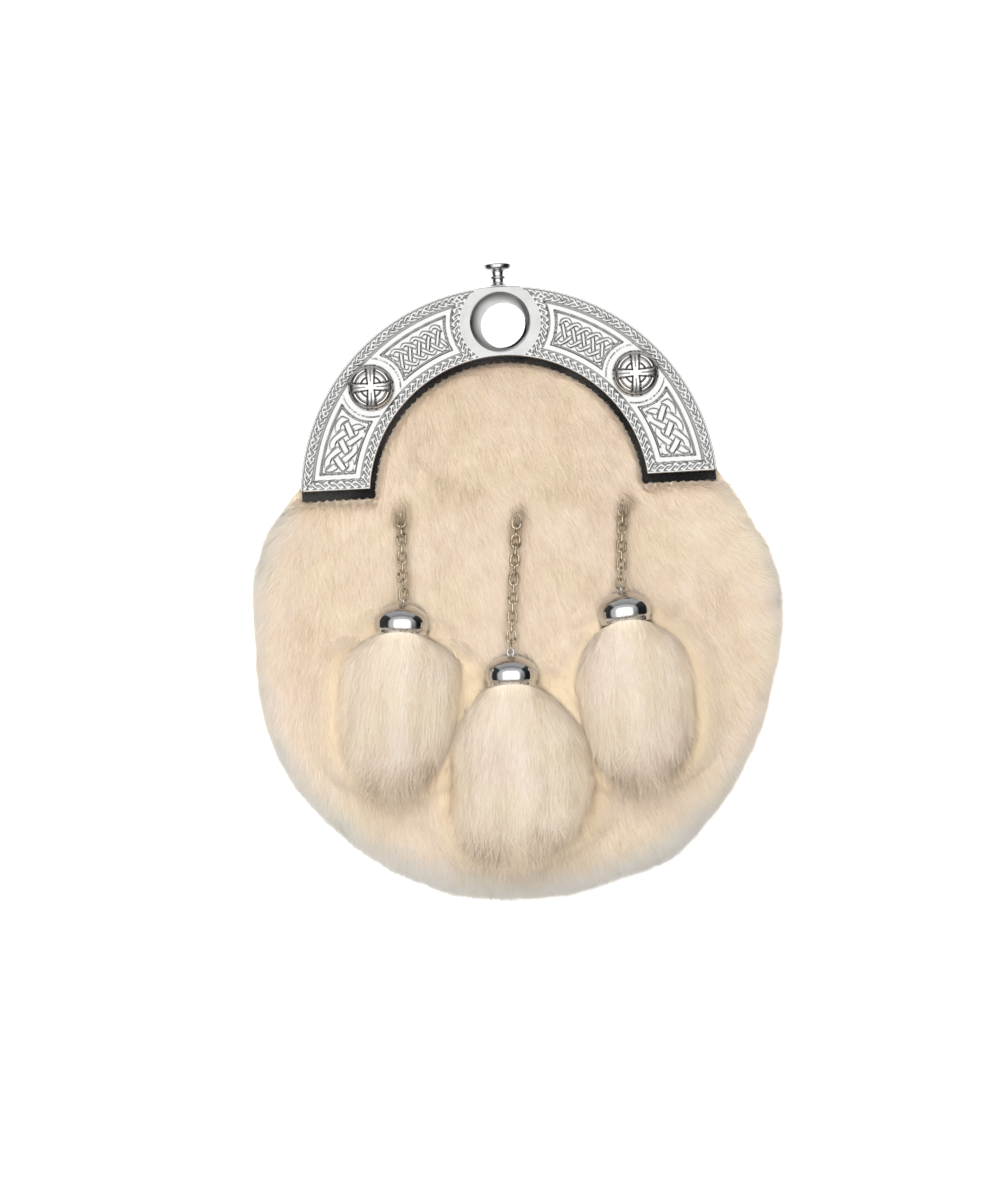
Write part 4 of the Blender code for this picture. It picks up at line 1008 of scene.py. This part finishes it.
def cantle_relief(x, y):
    """Height of the cast face against its highest level, from the arc's centre."""
    radius, angle = np.hypot(x, y), np.arctan2(y, np.abs(x))
    boss = math.radians(BOSS_RISE_DEG)
    from_boss = np.hypot(np.abs(x) - BOSS_AT_R * math.cos(boss), y - BOSS_AT_R * math.sin(boss))
    ring_angle, from_hole = np.arctan2(np.abs(x), y - RING_RISE), np.hypot(x, y - RING_RISE)
    bands = (
        # depth into the border, its width, distance along it, strands, period of a strand
        (CANTLE_R_OUT - radius, BORDER_OUT, BRAID_OUT_R * angle, 3, 0.0078),
        (radius - CANTLE_R_IN, BORDER_IN, BRAID_IN_R * angle, 2, 0.0056),
        (y - CANTLE_RISE, BORDER_END, np.abs(x), 2, 0.0056),
        (from_hole - HOLE_COLLAR, BORDER_RING, (HOLE_COLLAR + 0.0015) * ring_angle, 2, 0.0050),
    )
    inner = np.stack([band[0] - band[1] for band in bands])
    nearest, inner = np.argmin(inner, 0), np.min(inner, 0)
    high = np.zeros_like(x)
    for order, (depth, wide, along, strands, period) in enumerate(bands):
        rim = PLAIN_RIM if order < 3 else 0.0002
        half = (wide - rim - 0.0002) / 2
        thin = 0.27 if strands == 3 else 0.38
        braid = weave(along, depth - rim - half, strands, period, half * 0.66, half * thin, 0.2)
        inside = smooth(depth, rim - 0.0001, rim + 0.00025) * (1 - smooth(inner, -0.0004, -0.0001))
        border = -BORDER_SINK * inside * (1 - 0.95 * braid)
        high = np.where((nearest == order) & (inner < 0), border, high)
    groove = 1 - np.abs(inner / FRAME_GROOVE * 2 - 1)
    high = np.where(inner >= 0, -FRAME_DEEP * np.maximum(groove, 0.0), high)
    panel = np.minimum(inner - FRAME_GROOVE - FRAME_WIDE, from_boss - BOSS_COLLAR)
    line = smooth(panel, 0.00040, 0.0006) * (1 - smooth(panel, 0.0008, 0.0010))
    ground = smooth(panel, 0.0, 0.0003)
    upper, lower = (knot(PANEL_R * (angle - math.radians(degrees)), radius - middle_r, *strand)
                    for degrees, middle_r, *strand in KNOTS)
    strands = np.where(angle > boss, upper, lower) * smooth(panel, 0.0009, 0.0012)
    high = high - PANEL_SINK * ground * (1 - np.maximum(0.55 * line, 0.97 * strands))
    arc = (1 - np.abs(from_boss - BOSS_LINE_R) / BOSS_LINE) * (inner > FRAME_GROOVE + 0.0004)
    high -= BOSS_LINE * np.maximum(arc, 0.0) * (panel < 0)
    edge = np.minimum(np.minimum(CANTLE_R_OUT - radius, radius - CANTLE_R_IN), y - CANTLE_RISE)
    round_over = EDGE_ROUND * (1 - np.sqrt(1 - np.clip(1 - edge / EDGE_ROUND, 0.0, 1.0) ** 2))
    plain = 1 - smooth(from_hole, HOLE_COLLAR - 0.0002, HOLE_COLLAR + 0.0002)
    return np.where(plain > 0.5, 0.0, high) - round_over


def softened(values, cells):
    """Each value averaged with its neighbours on the grid."""
    for axis in (0, 1):
        padded = np.pad(values, [(cells, cells) if axis == way else (0, 0) for way in (0, 1)],
                        mode="edge")
        values = sum(np.roll(padded, step, axis) for step in range(-cells, cells + 1))
        values = (values / (2 * cells + 1)).take(
            range(cells, cells + values.shape[axis] - 2 * cells), axis)
    return values


def ends_of(edges):
    """The vertices of some edges."""
    return {vertex for edge in edges for vertex in edge.verts}


def drawn_out(body, edges):
    """Extrudes open edges, and gives the open edges made."""
    made = bmesh.ops.extrude_edge_only(body, edges=edges)["geom"]
    return [edge for edge in made if isinstance(edge, bmesh.types.BMEdge)
            and len(edge.link_faces) == 1]


def cast_cantle():
    """The relief on a grid bent round the arch, closed with a coved hole, sides and a flat back."""
    share = np.linspace(0, 1, GRID_AROUND + 1)[None, :]
    radius = np.linspace(CANTLE_R_IN, CANTLE_R_OUT, GRID_ACROSS + 1)[:, None]
    edge = np.arcsin(CANTLE_RISE / radius)
    angle = edge + (math.pi - 2 * edge) * share
    x, y = radius * np.cos(angle), radius * np.sin(angle)
    high = cantle_relief(x, y)
    hollow = softened(high, 1) - high
    from_hole = np.hypot(x, y - RING_RISE)
    tarnish = np.clip(hollow / FULL_HOLLOW, 0.0, 1.0) + COLLAR_TARNISH * (from_hole < HOLE_COLLAR)
    tarnish += BORDER_TARNISH * np.clip(1.0 - np.abs(high + BORDER_SINK) / 0.00022, 0.0, 1.0)
    deep = np.clip(softened(high, 4) - softened(high, 1), 0.0, 0.0002)
    tarnish += DEEP_TARNISH * deep / 0.0002
    number = np.arange(x.size).reshape(x.shape)
    open_hole = from_hole > HOLE_R_FRONT + 0.00005
    keep = open_hole[:-1, :-1] & open_hole[1:, :-1] & open_hole[:-1, 1:] & open_hole[1:, 1:]
    quads = np.stack([number[:-1, :-1][keep], number[:-1, 1:][keep],
                      number[1:, 1:][keep], number[1:, :-1][keep]], 1)
    points = np.stack([x, y + ARC_CENTRE_Y, CANTLE_FACE_Z + high], 2).reshape(-1, 3)
    mesh = plain_mesh(points, faces=quads.tolist())
    note(mesh, tarnish=tarnish.ravel())
    body = bmesh.new()
    body.from_mesh(mesh)
    bmesh.ops.delete(body, geom=[vertex for vertex in body.verts if not vertex.link_faces],
                     context="VERTS")
    rims = [edge for edge in body.edges if len(edge.link_faces) == 1]
    middle = Vector((0.0, ARC_CENTRE_Y + RING_RISE, CANTLE_FACE_Z))
    hole = [edge for edge in rims if max((vertex.co - middle).length for vertex in edge.verts)
            < HOLE_R_FRONT + 0.0007]
    outline = [edge for edge in rims if edge not in hole]
    for vertex in ends_of(hole):
        out = (vertex.co - middle) * Vector((1, 1, 0))
        vertex.co = middle + out.normalized() * HOLE_R_FRONT
    reach, depth, narrows = HOLE_R_FRONT, 0.0, HOLE_R_FRONT - HOLE_R_BACK
    for tilt in (*COVE_TILTS, None):
        hole = drawn_out(body, hole)
        if tilt:
            reach -= narrows / len(COVE_TILTS)
            depth += narrows / len(COVE_TILTS) * math.tan(math.radians(tilt))
        else:
            depth = CANTLE_THICK
        for vertex in ends_of(hole):
            out = (vertex.co - middle) * Vector((1, 1, 0))
            vertex.co = middle + out.normalized() * reach + Vector((1, -1, 0)) * (
                HOLE_LEAN * (HOLE_R_FRONT - reach) / narrows)
            vertex.co.z = CANTLE_FACE_Z - depth
    outline = drawn_out(body, outline)
    for vertex in ends_of(outline):
        vertex.co.z = CANTLE_Z
    bmesh.ops.triangle_fill(body, edges=hole + outline, use_beauty=True)
    return written(body, mesh)


def chrome_finish(name, bright, dull, roughness, tarnish=True):
    """Polished plate. Where it carries tarnish, the hollows are dark and rough."""
    made, place = new_finish(name, roughness, metallic=1.0)
    haze = place.noise(160.0, 4.0)
    scuff = place.noise(2400.0, 2.0)
    rough = roughness * (0.7 + 0.6 * haze)
    if tarnish:
        worn = (place.kept("tarnish") + (haze - 0.5) * 0.25).step(0.10, 1.0)
        rough = rough + 0.35 * worn
    else:
        worn = haze.step(0.25, 0.8)
    return dressed(made, haze * 0.5 + scuff * 0.2, 0.00003,
                   Base_Color=worn.blend(bright, dull), Roughness=rough)


CAST_CHROME = chrome_finish("cast_chrome", (0.62, 0.62, 0.61, 1.0), (0.38, 0.378, 0.37, 1.0), 0.20)
show("cantle_cast", cast_cantle(), CAST_CHROME, "chrome_antique", "cantle")

# ------------------------------------------------------------------ bosses
# A domed stud stands in the middle of each side, cast with a ringed cross. Its grooves were
# blackened and its heights polished back.
BOSS_R, BOSS_HEIGHT = 0.0087, 0.0062
BOSS_STEP, BOSS_RELIEF = 0.0010, 0.0006      # its straight side, and the depth of its grooves
BOSS_FOOT_Z = CANTLE_FACE_Z + 0.0003


def boss_relief(share, angle):
    """1 on the polished heights and 0 in the grooves, at a share of the radius and an angle."""
    arm = np.abs((angle + math.pi / 4) % (math.pi / 2) - math.pi / 4)
    across = np.sin(arm) * share
    half = 0.10 + 0.085 * share
    arms = 1 - smooth(across, half - 0.015, half + 0.015)
    beside = 1 - smooth(np.abs(across - half - 0.025), 0.010, 0.036)
    slit = (1 - smooth(across, 0.008, 0.030)) * smooth(share, 0.20, 0.30)
    rings = np.zeros_like(share)
    for middle, wide in ((0.945, 0.028), (0.72, 0.030), (0.46, 0.024)):
        rings = np.maximum(rings, 1 - smooth(np.abs(share - middle), wide * 0.4, wide * 1.2))
    cut = np.maximum(beside * smooth(share, 0.10, 0.2), rings)
    return 1 - np.maximum(cut * (1 - arms * (share < 0.90)), 0.45 * slit * arms)


def boss_mesh(side):
    around, steps = 96, 36
    angle = np.arange(around)[None, :] * 2 * math.pi / around
    share = np.linspace(0.02, 1.0, steps)[:, None] + 0 * angle
    level = boss_relief(share, angle + 0 * share)
    dome = np.sqrt(np.maximum(0.0, 1 - (share * 0.985) ** 2)) ** 0.9
    high = BOSS_STEP + (BOSS_HEIGHT - BOSS_STEP - BOSS_RELIEF) * dome + BOSS_RELIEF * level
    radius = BOSS_R * share
    lean = math.radians(BOSS_RISE_DEG)
    at = np.array([side * BOSS_AT_R * math.cos(lean),
                   ARC_CENTRE_Y + BOSS_AT_R * math.sin(lean), BOSS_FOOT_Z])
    rings = np.stack([radius * np.cos(angle), radius * np.sin(angle), high], 2)
    foot = rings[-1:] * (1, 1, 0)
    rings = np.concatenate([rings, foot + (0, 0, 0.0004), foot * (0.98, 0.98, 1),
                            foot * (0.5, 0.5, 1)]) + at
    mesh = lofted(rings, [at + (0, 0, BOSS_HEIGHT - 0.0002), at])
    reach = np.array([math.hypot(*(vertex.co - Vector(at)).xy) for vertex in mesh.vertices])
    turn = np.array([math.atan2(vertex.co.y - at[1], vertex.co.x - at[0])
                     for vertex in mesh.vertices])
    top = np.array([vertex.co.z > BOSS_FOOT_Z + 0.0008 for vertex in mesh.vertices])
    note(mesh, tarnish=np.where(top, 1 - boss_relief(reach / BOSS_R, turn), 0.9))
    return mesh


BOSS_CHROME = chrome_finish("boss_chrome", (0.82, 0.80, 0.78, 1.0), (0.045, 0.041, 0.038, 1.0), 0.22)
for side_name, side in (("left", -1), ("right", 1)):
    show("boss_stud_" + side_name, boss_mesh(side), BOSS_CHROME, "chrome_antique",
         "boss_" + side_name, smooth_deg=60.0)

# ------------------------------------------------------------------ knob
# A turned finial stands on the top of the arch, with a dished head on a waisted neck. It is
# plated bright and fixed to the cantle's edge.


def turned(profile, sides, place):
    """A profile of radius and height, turned round Z and then put in place."""
    angle = np.arange(sides) * 2 * math.pi / sides
    rings = [np.stack([radius * np.cos(angle), radius * np.sin(angle), 0 * angle + height], 1)
             for radius, height in profile if radius > 0]
    mesh = lofted(rings, [(0, 0, profile[0][1]), (0, 0, profile[-1][1])])
    mesh.transform(place)
    return mesh


def curved(points, steps=5):
    """A smooth profile that passes through every given point."""
    points = [np.array(point, float) for point in points]
    points = [points[0], *points, points[-1]]
    eased = []
    for a, b, c, d in zip(points, points[1:], points[2:], points[3:]):
        for t in np.arange(steps) / steps:
            eased.append(0.5 * (2 * b + (c - a) * t + (2 * a - 5 * b + 4 * c - d) * t ** 2
                                + (3 * b - a - 3 * c + d) * t ** 3))
    return [(max(float(r), 0.0), float(z)) for r, z in eased + [points[-1]]]


KNOB_PROFILE = curved((
    # radius, height over the cantle's edge
    (0.0, 0.0076), (0.0022, 0.0078), (0.0040, 0.0086), (0.00500, 0.0082), (0.00505, 0.0076),
    (0.0046, 0.0066), (0.0034, 0.0062), (0.0024, 0.0058), (0.0021, 0.0048), (0.0022, 0.0040),
    (0.0028, 0.0036), (0.0028, 0.0032), (0.0022, 0.0028), (0.0021, 0.0022), (0.0023, 0.0014),
    (0.0030, 0.0006), (0.0032, 0.0003), (0.0, 0.0003),
))
STEEL_CHROME = chrome_finish("knob_chrome", (0.85, 0.85, 0.85, 1.0), (0.50, 0.50, 0.50, 1.0),
                             0.14, tarnish=False)
knob_foot = Matrix.Translation((0.0, ARC_CENTRE_Y + CANTLE_R_OUT, CANTLE_Z + CANTLE_THICK / 2)) \
    @ Matrix.Rotation(math.radians(-90), 4, "X")
show("knob_turned", turned(KNOB_PROFILE, 32, knob_foot), STEEL_CHROME, "chrome_bright", "knob",
     smooth_deg=60.0)

# ------------------------------------------------------------------ bell caps
# Each tassel is gathered in a spun bell, plated bright, hollow and open at its mouth. A line is
# turned in just above the mouth, and a wire eye on its crown takes the chain.
CAP_HEIGHT, CAP_WALL = 0.0115, 0.0009
WIRE_R, EYE_R = 0.00042, 0.00125
BELL = ((0.0, 1.0), (0.17, 0.992), (0.35, 0.958), (0.54, 0.888), (0.71, 0.795), (0.85, 0.69),
        (0.94, 0.58), (0.987, 0.475), (1.0, 0.38), (1.0, 0.27), (0.985, 0.195), (0.945, 0.145),
        (0.93, 0.08), (0.93, 0.0))
BELL_INSIDE = ((0.96, 0.25), (0.80, 0.62), (0.55, 0.87), (0.25, 0.97), (0.0, 1.0))


def wire_ring(radius, wire_r, place, around=28, sides=10):
    """A ring of round wire in the XY plane, put in place."""
    rings = []
    for i in range(around):
        angle = 2 * math.pi * (i + 0.5) / around
        way = np.array([math.cos(angle), math.sin(angle), 0.0])
        rings.append([radius * way + wire_r * (math.cos(t) * way + math.sin(t) * np.array((0, 0, 1.0)))
                      for t in np.arange(sides) * 2 * math.pi / sides])
    mesh = closed_mesh([point for ring in rings for point in ring],
                       tube_faces(around, sides, closed=True))
    mesh.transform(place)
    return mesh


def joined(*meshes):
    body = bmesh.new()
    for mesh in meshes:
        body.from_mesh(mesh)
    return written(body)


def bell_cap(row):
    """The bell and its eye, crown up the tassel's axis."""
    mouth, way = tassel_frame(row)
    outside = [(r * CAP_R, z * CAP_HEIGHT) for r, z in curved(BELL, 3)]
    inner_r, inner_h = CAP_R - CAP_WALL, CAP_HEIGHT - CAP_WALL
    inside = [(inner_r * 0.94, 0.0)] + [(r * inner_r, z * inner_h) for r, z in BELL_INSIDE]
    turn = Matrix.Translation(mouth) @ (-way).to_track_quat("Z", "Y").to_matrix().to_4x4()
    eye_turn = 90.0 if row.links % 2 else 0.0
    crown = Matrix.Translation((0, 0, CAP_HEIGHT + EYE_R - 0.0002)) \
        @ Matrix.Rotation(math.radians(eye_turn), 4, "Z") \
        @ Matrix.Rotation(math.radians(90), 4, "X")
    return joined(turned(outside + inside, 56, turn),
                  wire_ring(EYE_R, WIRE_R + 0.00005, turn @ crown))


PLAIN_CHROME = chrome_finish("bright_chrome", (0.72, 0.72, 0.73, 1.0), (0.66, 0.66, 0.67, 1.0),
                             0.06, tarnish=False)
for row in TASSELS:
    show("bell_" + row.side, bell_cap(row), PLAIN_CHROME, "chrome_bright", "cap_" + row.side,
         smooth_deg=50.0)

# ------------------------------------------------------------------ chains
# Short cable chains of nickel wire carry the tassels. Each link is bent round, its neighbours lie
# across it, and the last one hangs on an eye whose plate is sewn under the fur.
LINK_R, LINK_HALF_STRAIGHT, LINK_WIRE_R = 0.00150, 0.00094, 0.00047
ANCHOR_FOOT = (
    # radius, height over its underside
    (0.0, 0.0008), (0.0028, 0.0008), (0.0030, 0.0006), (0.0030, 0.0), (0.0, 0.0),
)
STEM_R = 0.0006


def nickel_finish():
    made, place = new_finish("nickel_wire", 0.25, metallic=1.0)
    dirt = place.noise(620.0, 3.0).step(0.43, 0.70)
    return dressed(made, place.noise(1600.0, 2.0), 0.00003, Roughness=0.12 + 0.3 * dirt,
                   Base_Color=dirt.blend((0.76, 0.65, 0.48, 1.0), (0.16, 0.12, 0.076, 1.0)))


def chain_recipe():
    """Links at the points of a route, every second one turned on its edge."""
    recipe = Recipe("chain", {"Bend radius": LINK_R, "Half straight": LINK_HALF_STRAIGHT,
                              "Wire radius": LINK_WIRE_R, "First on edge": 1})
    route = recipe.start("GeometryNodeMeshToCurve", {}, {"Mesh": recipe.size("Geometry")})
    bend = route.node("GeometryNodeCurvePrimitiveCircle", {}, {
        "Resolution": 24, "Radius": recipe.size("Bend radius")})
    up = route.node("GeometryNodeInputPosition").part("Y")
    pull = (up + 1e-7).maths("SIGN") * recipe.size("Half straight")
    bend = moved(bend, Offset=bend.vector(Y=pull))
    wire = route.node("GeometryNodeCurvePrimitiveCircle", {}, {
        "Resolution": 10, "Radius": recipe.size("Wire radius")})
    link = bend.node("GeometryNodeCurveToMesh", {}, {"Curve": bend, "Profile Curve": wire})
    along = route.node("GeometryNodeInputTangent")
    count = route.node("GeometryNodeInputIndex")
    edge = (count + recipe.size("First on edge")).maths("MODULO", 2.0)
    turn = laid("YZ", along, (0.0, 0.0, 1.0), along.vector(Y=edge * (math.pi / 2)))
    recipe.end(planted(route, link, Rotation=turn), NICKEL)
    return recipe


NICKEL = nickel_finish()
CHAIN = chain_recipe()
for row in TASSELS:
    side, links = row.side, row.links
    route = [link_middle(side, count) for count in range(1, links + 1)]
    names = [f"chain_{side}_link_{count:02d}" for count in range(1, links + 1)]
    show("chain_" + side, CHAIN.run(path_mesh(route), **{"First on edge": (links + 1) % 2}),
         NICKEL, "nickel_chain", *names, smooth_deg=60.0)
    low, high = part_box("chain_anchor_" + side)
    at = Vector(((low.x + high.x) / 2, (low.y + high.y) / 2, high.z - EYE_R - WIRE_R))
    foot_z = low.z - at.z
    foot = [(radius, foot_z + height) for radius, height in ANCHOR_FOOT]
    stem_foot = foot_z + 0.0004
    stem = ((0.0, -EYE_R), (STEM_R, -EYE_R), (STEM_R, stem_foot), (0.0, stem_foot))
    place = Matrix.Translation(at)
    hook = joined(turned(foot, 32, place), turned(stem, 12, place),
                  wire_ring(EYE_R, WIRE_R, place @ Matrix.Rotation(math.pi / 2, 4, "Y")))
    show("anchor_" + side, hook, NICKEL, "nickel_chain", "chain_anchor_" + side, smooth_deg=60.0)

# ------------------------------------------------------------------ tassels
# Long hair bound into the caps swells into three bulbs, combed down and fine, and painted a little
# darker at the tips as shade. Each has a felted core, and its outer hairs lie along it.
TASSEL_ABOVE, TASSEL_BELOW, TASSEL_DROOP = 0.0120, 0.0085, 0.0030
CORE_SHARE = 0.94            # of a tassel's length, the rest is loose tips
CORE_INSET = 0.0022          # how much smaller the core is than the bulb
CAP_OVERLAP = 0.0022         # the hair swells back over the cap's rim on its upper side
CORE_NECK = (-0.0060, 0.0055), (-0.0030, 0.0072), (0.0004, 0.0078)   # place along it, and radius
TASSEL_HAIRS = 7.5e6


def tassel_axes(row):
    """The middle of a cap's mouth, the way along its tassel and the way across it."""
    mouth, way = (np.array(value) for value in tassel_frame(row))
    return mouth, way, np.array((-way[1], way[0], 0.0))


def tassel_core(row, around=72, steps=46):
    """The bulb under the outer hairs, from inside its cap to its tip."""
    mouth, way, across = tassel_axes(row)
    angle = np.arange(around)[:, None] * 2 * math.pi / around
    rings = []
    up = np.maximum(np.sin(angle), 0.0) ** 2
    for along, radius in CORE_NECK:
        rings.append(mouth + way * along + radius * (np.cos(angle) * across
                                                     + np.sin(angle) * (0, 0, 1)))
    for share in 1 - np.linspace(0.985, 0.02, steps) ** 1.25:
        width = float(tassel_width(share, row.belly))
        thick = width ** 0.75
        fullest = TASSEL_ABOVE - CORE_INSET * 0.5
        above = fullest * thick if share > row.belly else CAP_R + 0.0003 + (
            fullest - CAP_R - 0.0003) * share / row.belly
        below = max(TASSEL_BELOW * thick - CORE_INSET * 0.5, 0.0004)
        wide = max(row.half_wide * width - CORE_INSET, 0.0006)
        place = mouth + way * (share * row.length * CORE_SHARE) - (0, 0, TASSEL_DROOP * share)
        place = place + across * bowed(row, share)
        place = place - way * up * CAP_OVERLAP * (1.0 - smooth(share, 0.0, 0.10))
        rings.append(place + wide * np.cos(angle) * across
                     + np.where(np.sin(angle) > 0, above, below) * np.sin(angle) * (0, 0, 1))
    tip = mouth + way * (row.length * CORE_SHARE + 0.0003) + across * bowed(row, 1.0)
    return lofted(rings, [mouth + way * -0.007, tip - (0, 0, TASSEL_DROOP)])


def comb_tassel(mesh, row):
    """How the hairs lie on a tassel, for each vertex of its core."""
    mouth, way, across = tassel_axes(row)
    at, normal = places_of(mesh), normals_of(mesh)
    share = np.clip((at - mouth) @ way / (row.length * CORE_SHARE), 0.0, 1.0)
    side_way = ((at - mouth) @ across - bowed(row, share)) / row.half_wide
    forward = np.clip(normal @ way, 0.0, 1.0)
    flow = way + across * (side_way * (0.45 - 0.70 * share))[:, None]
    shown = smooth(normal[:, 2], -0.80, -0.45)
    out_of_cap = smooth((at - mouth) @ way, -0.0030, 0.0)
    out_of_cap *= smooth(np.hypot((at - mouth) @ across, at[:, 2] - mouth[2]), 0.0094, 0.0101)
    foot, flank = smooth(share, 0.60, 0.95), smooth(np.abs(side_way), 0.55, 0.95)
    painted_crest_highlight = np.exp(-((side_way + 0.16 - 0.30 * share) / 0.13) ** 2)
    painted_lock_shading = 0.06 * np.sin(13.0 * side_way + 3.0 * share) + 0.05 * np.sin(31.0 * side_way + 1.0)
    # Painted light in the tone: a painted highlight along the crest, painted light and shade across
    # the locks, painted light that lifts the shade on the flanks, and painted shade towards the foot.
    # The flank tint is a painted warm light in the shade against the pelt.
    note(mesh, flow=along_surface(flow, normal),
         growth=shown * np.where(share > 0.05, 1.0, out_of_cap),
         reach=0.0050 + 0.0026 * smooth(share, 0.0, 0.3) + 0.0046 * foot,
         lift=0.12 + 0.08 * share + 0.14 * flank + np.arcsin(forward) * 0.85,
         bend=(8.0 + 3.0 * share) * (1.0 - 0.85 * forward),
         loose=1.0 + 1.9 * foot + 0.6 * flank, warm=0.80 * smooth(np.abs(side_way), 0.68, 0.95),
         tone=0.75 + 0.22 * painted_crest_highlight + painted_lock_shading - 0.42 * smooth(share, 0.74, 0.97) + 0.08 * flank)


TASSEL_STOPS = (
    (0.0, (0.22, 0.17, 0.12)), (0.22, (0.58, 0.48, 0.37)), (0.5, (0.82, 0.72, 0.59)),
    (0.75, (0.92, 0.84, 0.725)), (1.0, (0.98, 0.93, 0.865)),
)
TASSEL_FUR = fur_finish("tassel_fur", TASSEL_STOPS, (0.98, 0.96, 0.93, 1.0))
TASSEL_CORE = bed_finish("tassel_felt", (0.78, 0.68, 0.55, 1.0), (0.90, 0.82, 0.70, 1.0))
for order, row in enumerate(TASSELS):
    core = tassel_core(row)
    comb_tassel(core, row)
    show("tassel_core_" + row.side, core.copy(), TASSEL_CORE, "fur_tassel", "tassel_" + row.side,
         smooth_deg=80.0)
    grow("tassel_fur_" + row.side, core, TASSEL_FUR, "fur_tassel",
         **{"Hairs per square metre": TASSEL_HAIRS * HAIR_SHARE, "Seed": 20 + order,
            "Sway degrees": 16.0, "Wisp size": 220.0, "Drift": 0.20, "Joints": 3})

# ------------------------------------------------------------------ stage
# A pale floor, a wide soft light overhead and a camera straight above, turned as in the photo.
floor_mesh = plain_mesh([(-3, -3, 0), (3, -3, 0), (3, 3, 0), (-3, 3, 0)], faces=[(0, 1, 2, 3)])
floor = placed("floor", floor_mesh)
floor.visible_glossy = False
floor_mesh.materials.append(new_finish("pale_floor", 0.9, Base_Color=(0.92, 0.92, 0.92, 1.0),
                                       Emission_Color=(1.0, 1.0, 1.0, 1.0),
                                       Emission_Strength=0.90)[0])

world = bpy.data.worlds.new("studio")
bpy.context.scene.world = world
world.use_nodes = True
background = world.node_tree.nodes["Background"]
ray = Lead(world.node_tree.nodes.new("ShaderNodeTexCoord").outputs["Generated"])
aside, ahead, overhead = (ray.part(axis) for axis in "XYZ")
steep = overhead.maths("MAXIMUM", 0.02)
wide, deep = ((share / steep).maths("ABSOLUTE") for share in (aside, ahead))
corner = ((wide ** 4.0) + (deep * 1.05) ** 4.0) ** 0.25
window = (1.0 - corner.step(0.62, 0.90)) * overhead.step(0.05, 0.15)
sideways = aside.maths("ABSOLUTE").step(0.50, 0.72)
endways = ahead.maths("ABSOLUTE").step(0.55, 0.75)
dark = (sideways * 0.95).maths("MAXIMUM", endways * 0.55)
low = overhead.step(-0.60, -0.35) * (1.0 - overhead.step(0.40, 0.60))
room = 0.52 + 0.30 * (1.0 - overhead.step(0.02, 0.45))
lean = (aside * 0.7 - ahead * 0.7).step(0.05, 0.75)
room = room * (1.0 - dark * low) * (1.25 - 0.85 * lean)
sky = room * (1.0 - window) + window * 1.6
background.inputs["Color"].default_value = (1.0, 1.0, 1.0, 1.0)
world.node_tree.links.new(sky.socket, background.inputs["Strength"])

key = bpy.data.lights.new("softbox", "AREA")
key.shape, key.size, key.energy = "DISK", 2.4, 23.5
softbox = placed("softbox", key)
softbox.location = (-0.42, 0.50, 1.75)
softbox.rotation_euler = Vector(softbox.location).to_track_quat("Z", "Y").to_euler()
softbox.visible_glossy = False

VIEW_TURN_DEG = 3.1
VIEW_AT = (-0.0057, -0.0066, 0.025)
VIEW_TALL, VIEW_FROM = 0.450, 1.6
camera = placed("camera", bpy.data.cameras.new("camera"))
camera.data.sensor_fit = "VERTICAL"
camera.data.angle_y = 2 * math.atan(VIEW_TALL / 2 / VIEW_FROM)
camera.location = (VIEW_AT[0], VIEW_AT[1], VIEW_AT[2] + VIEW_FROM)
camera.rotation_euler = (0.0, 0.0, math.radians(-VIEW_TURN_DEG))
bpy.context.scene.camera = camera
bpy.context.scene.view_settings.view_transform = "Standard"
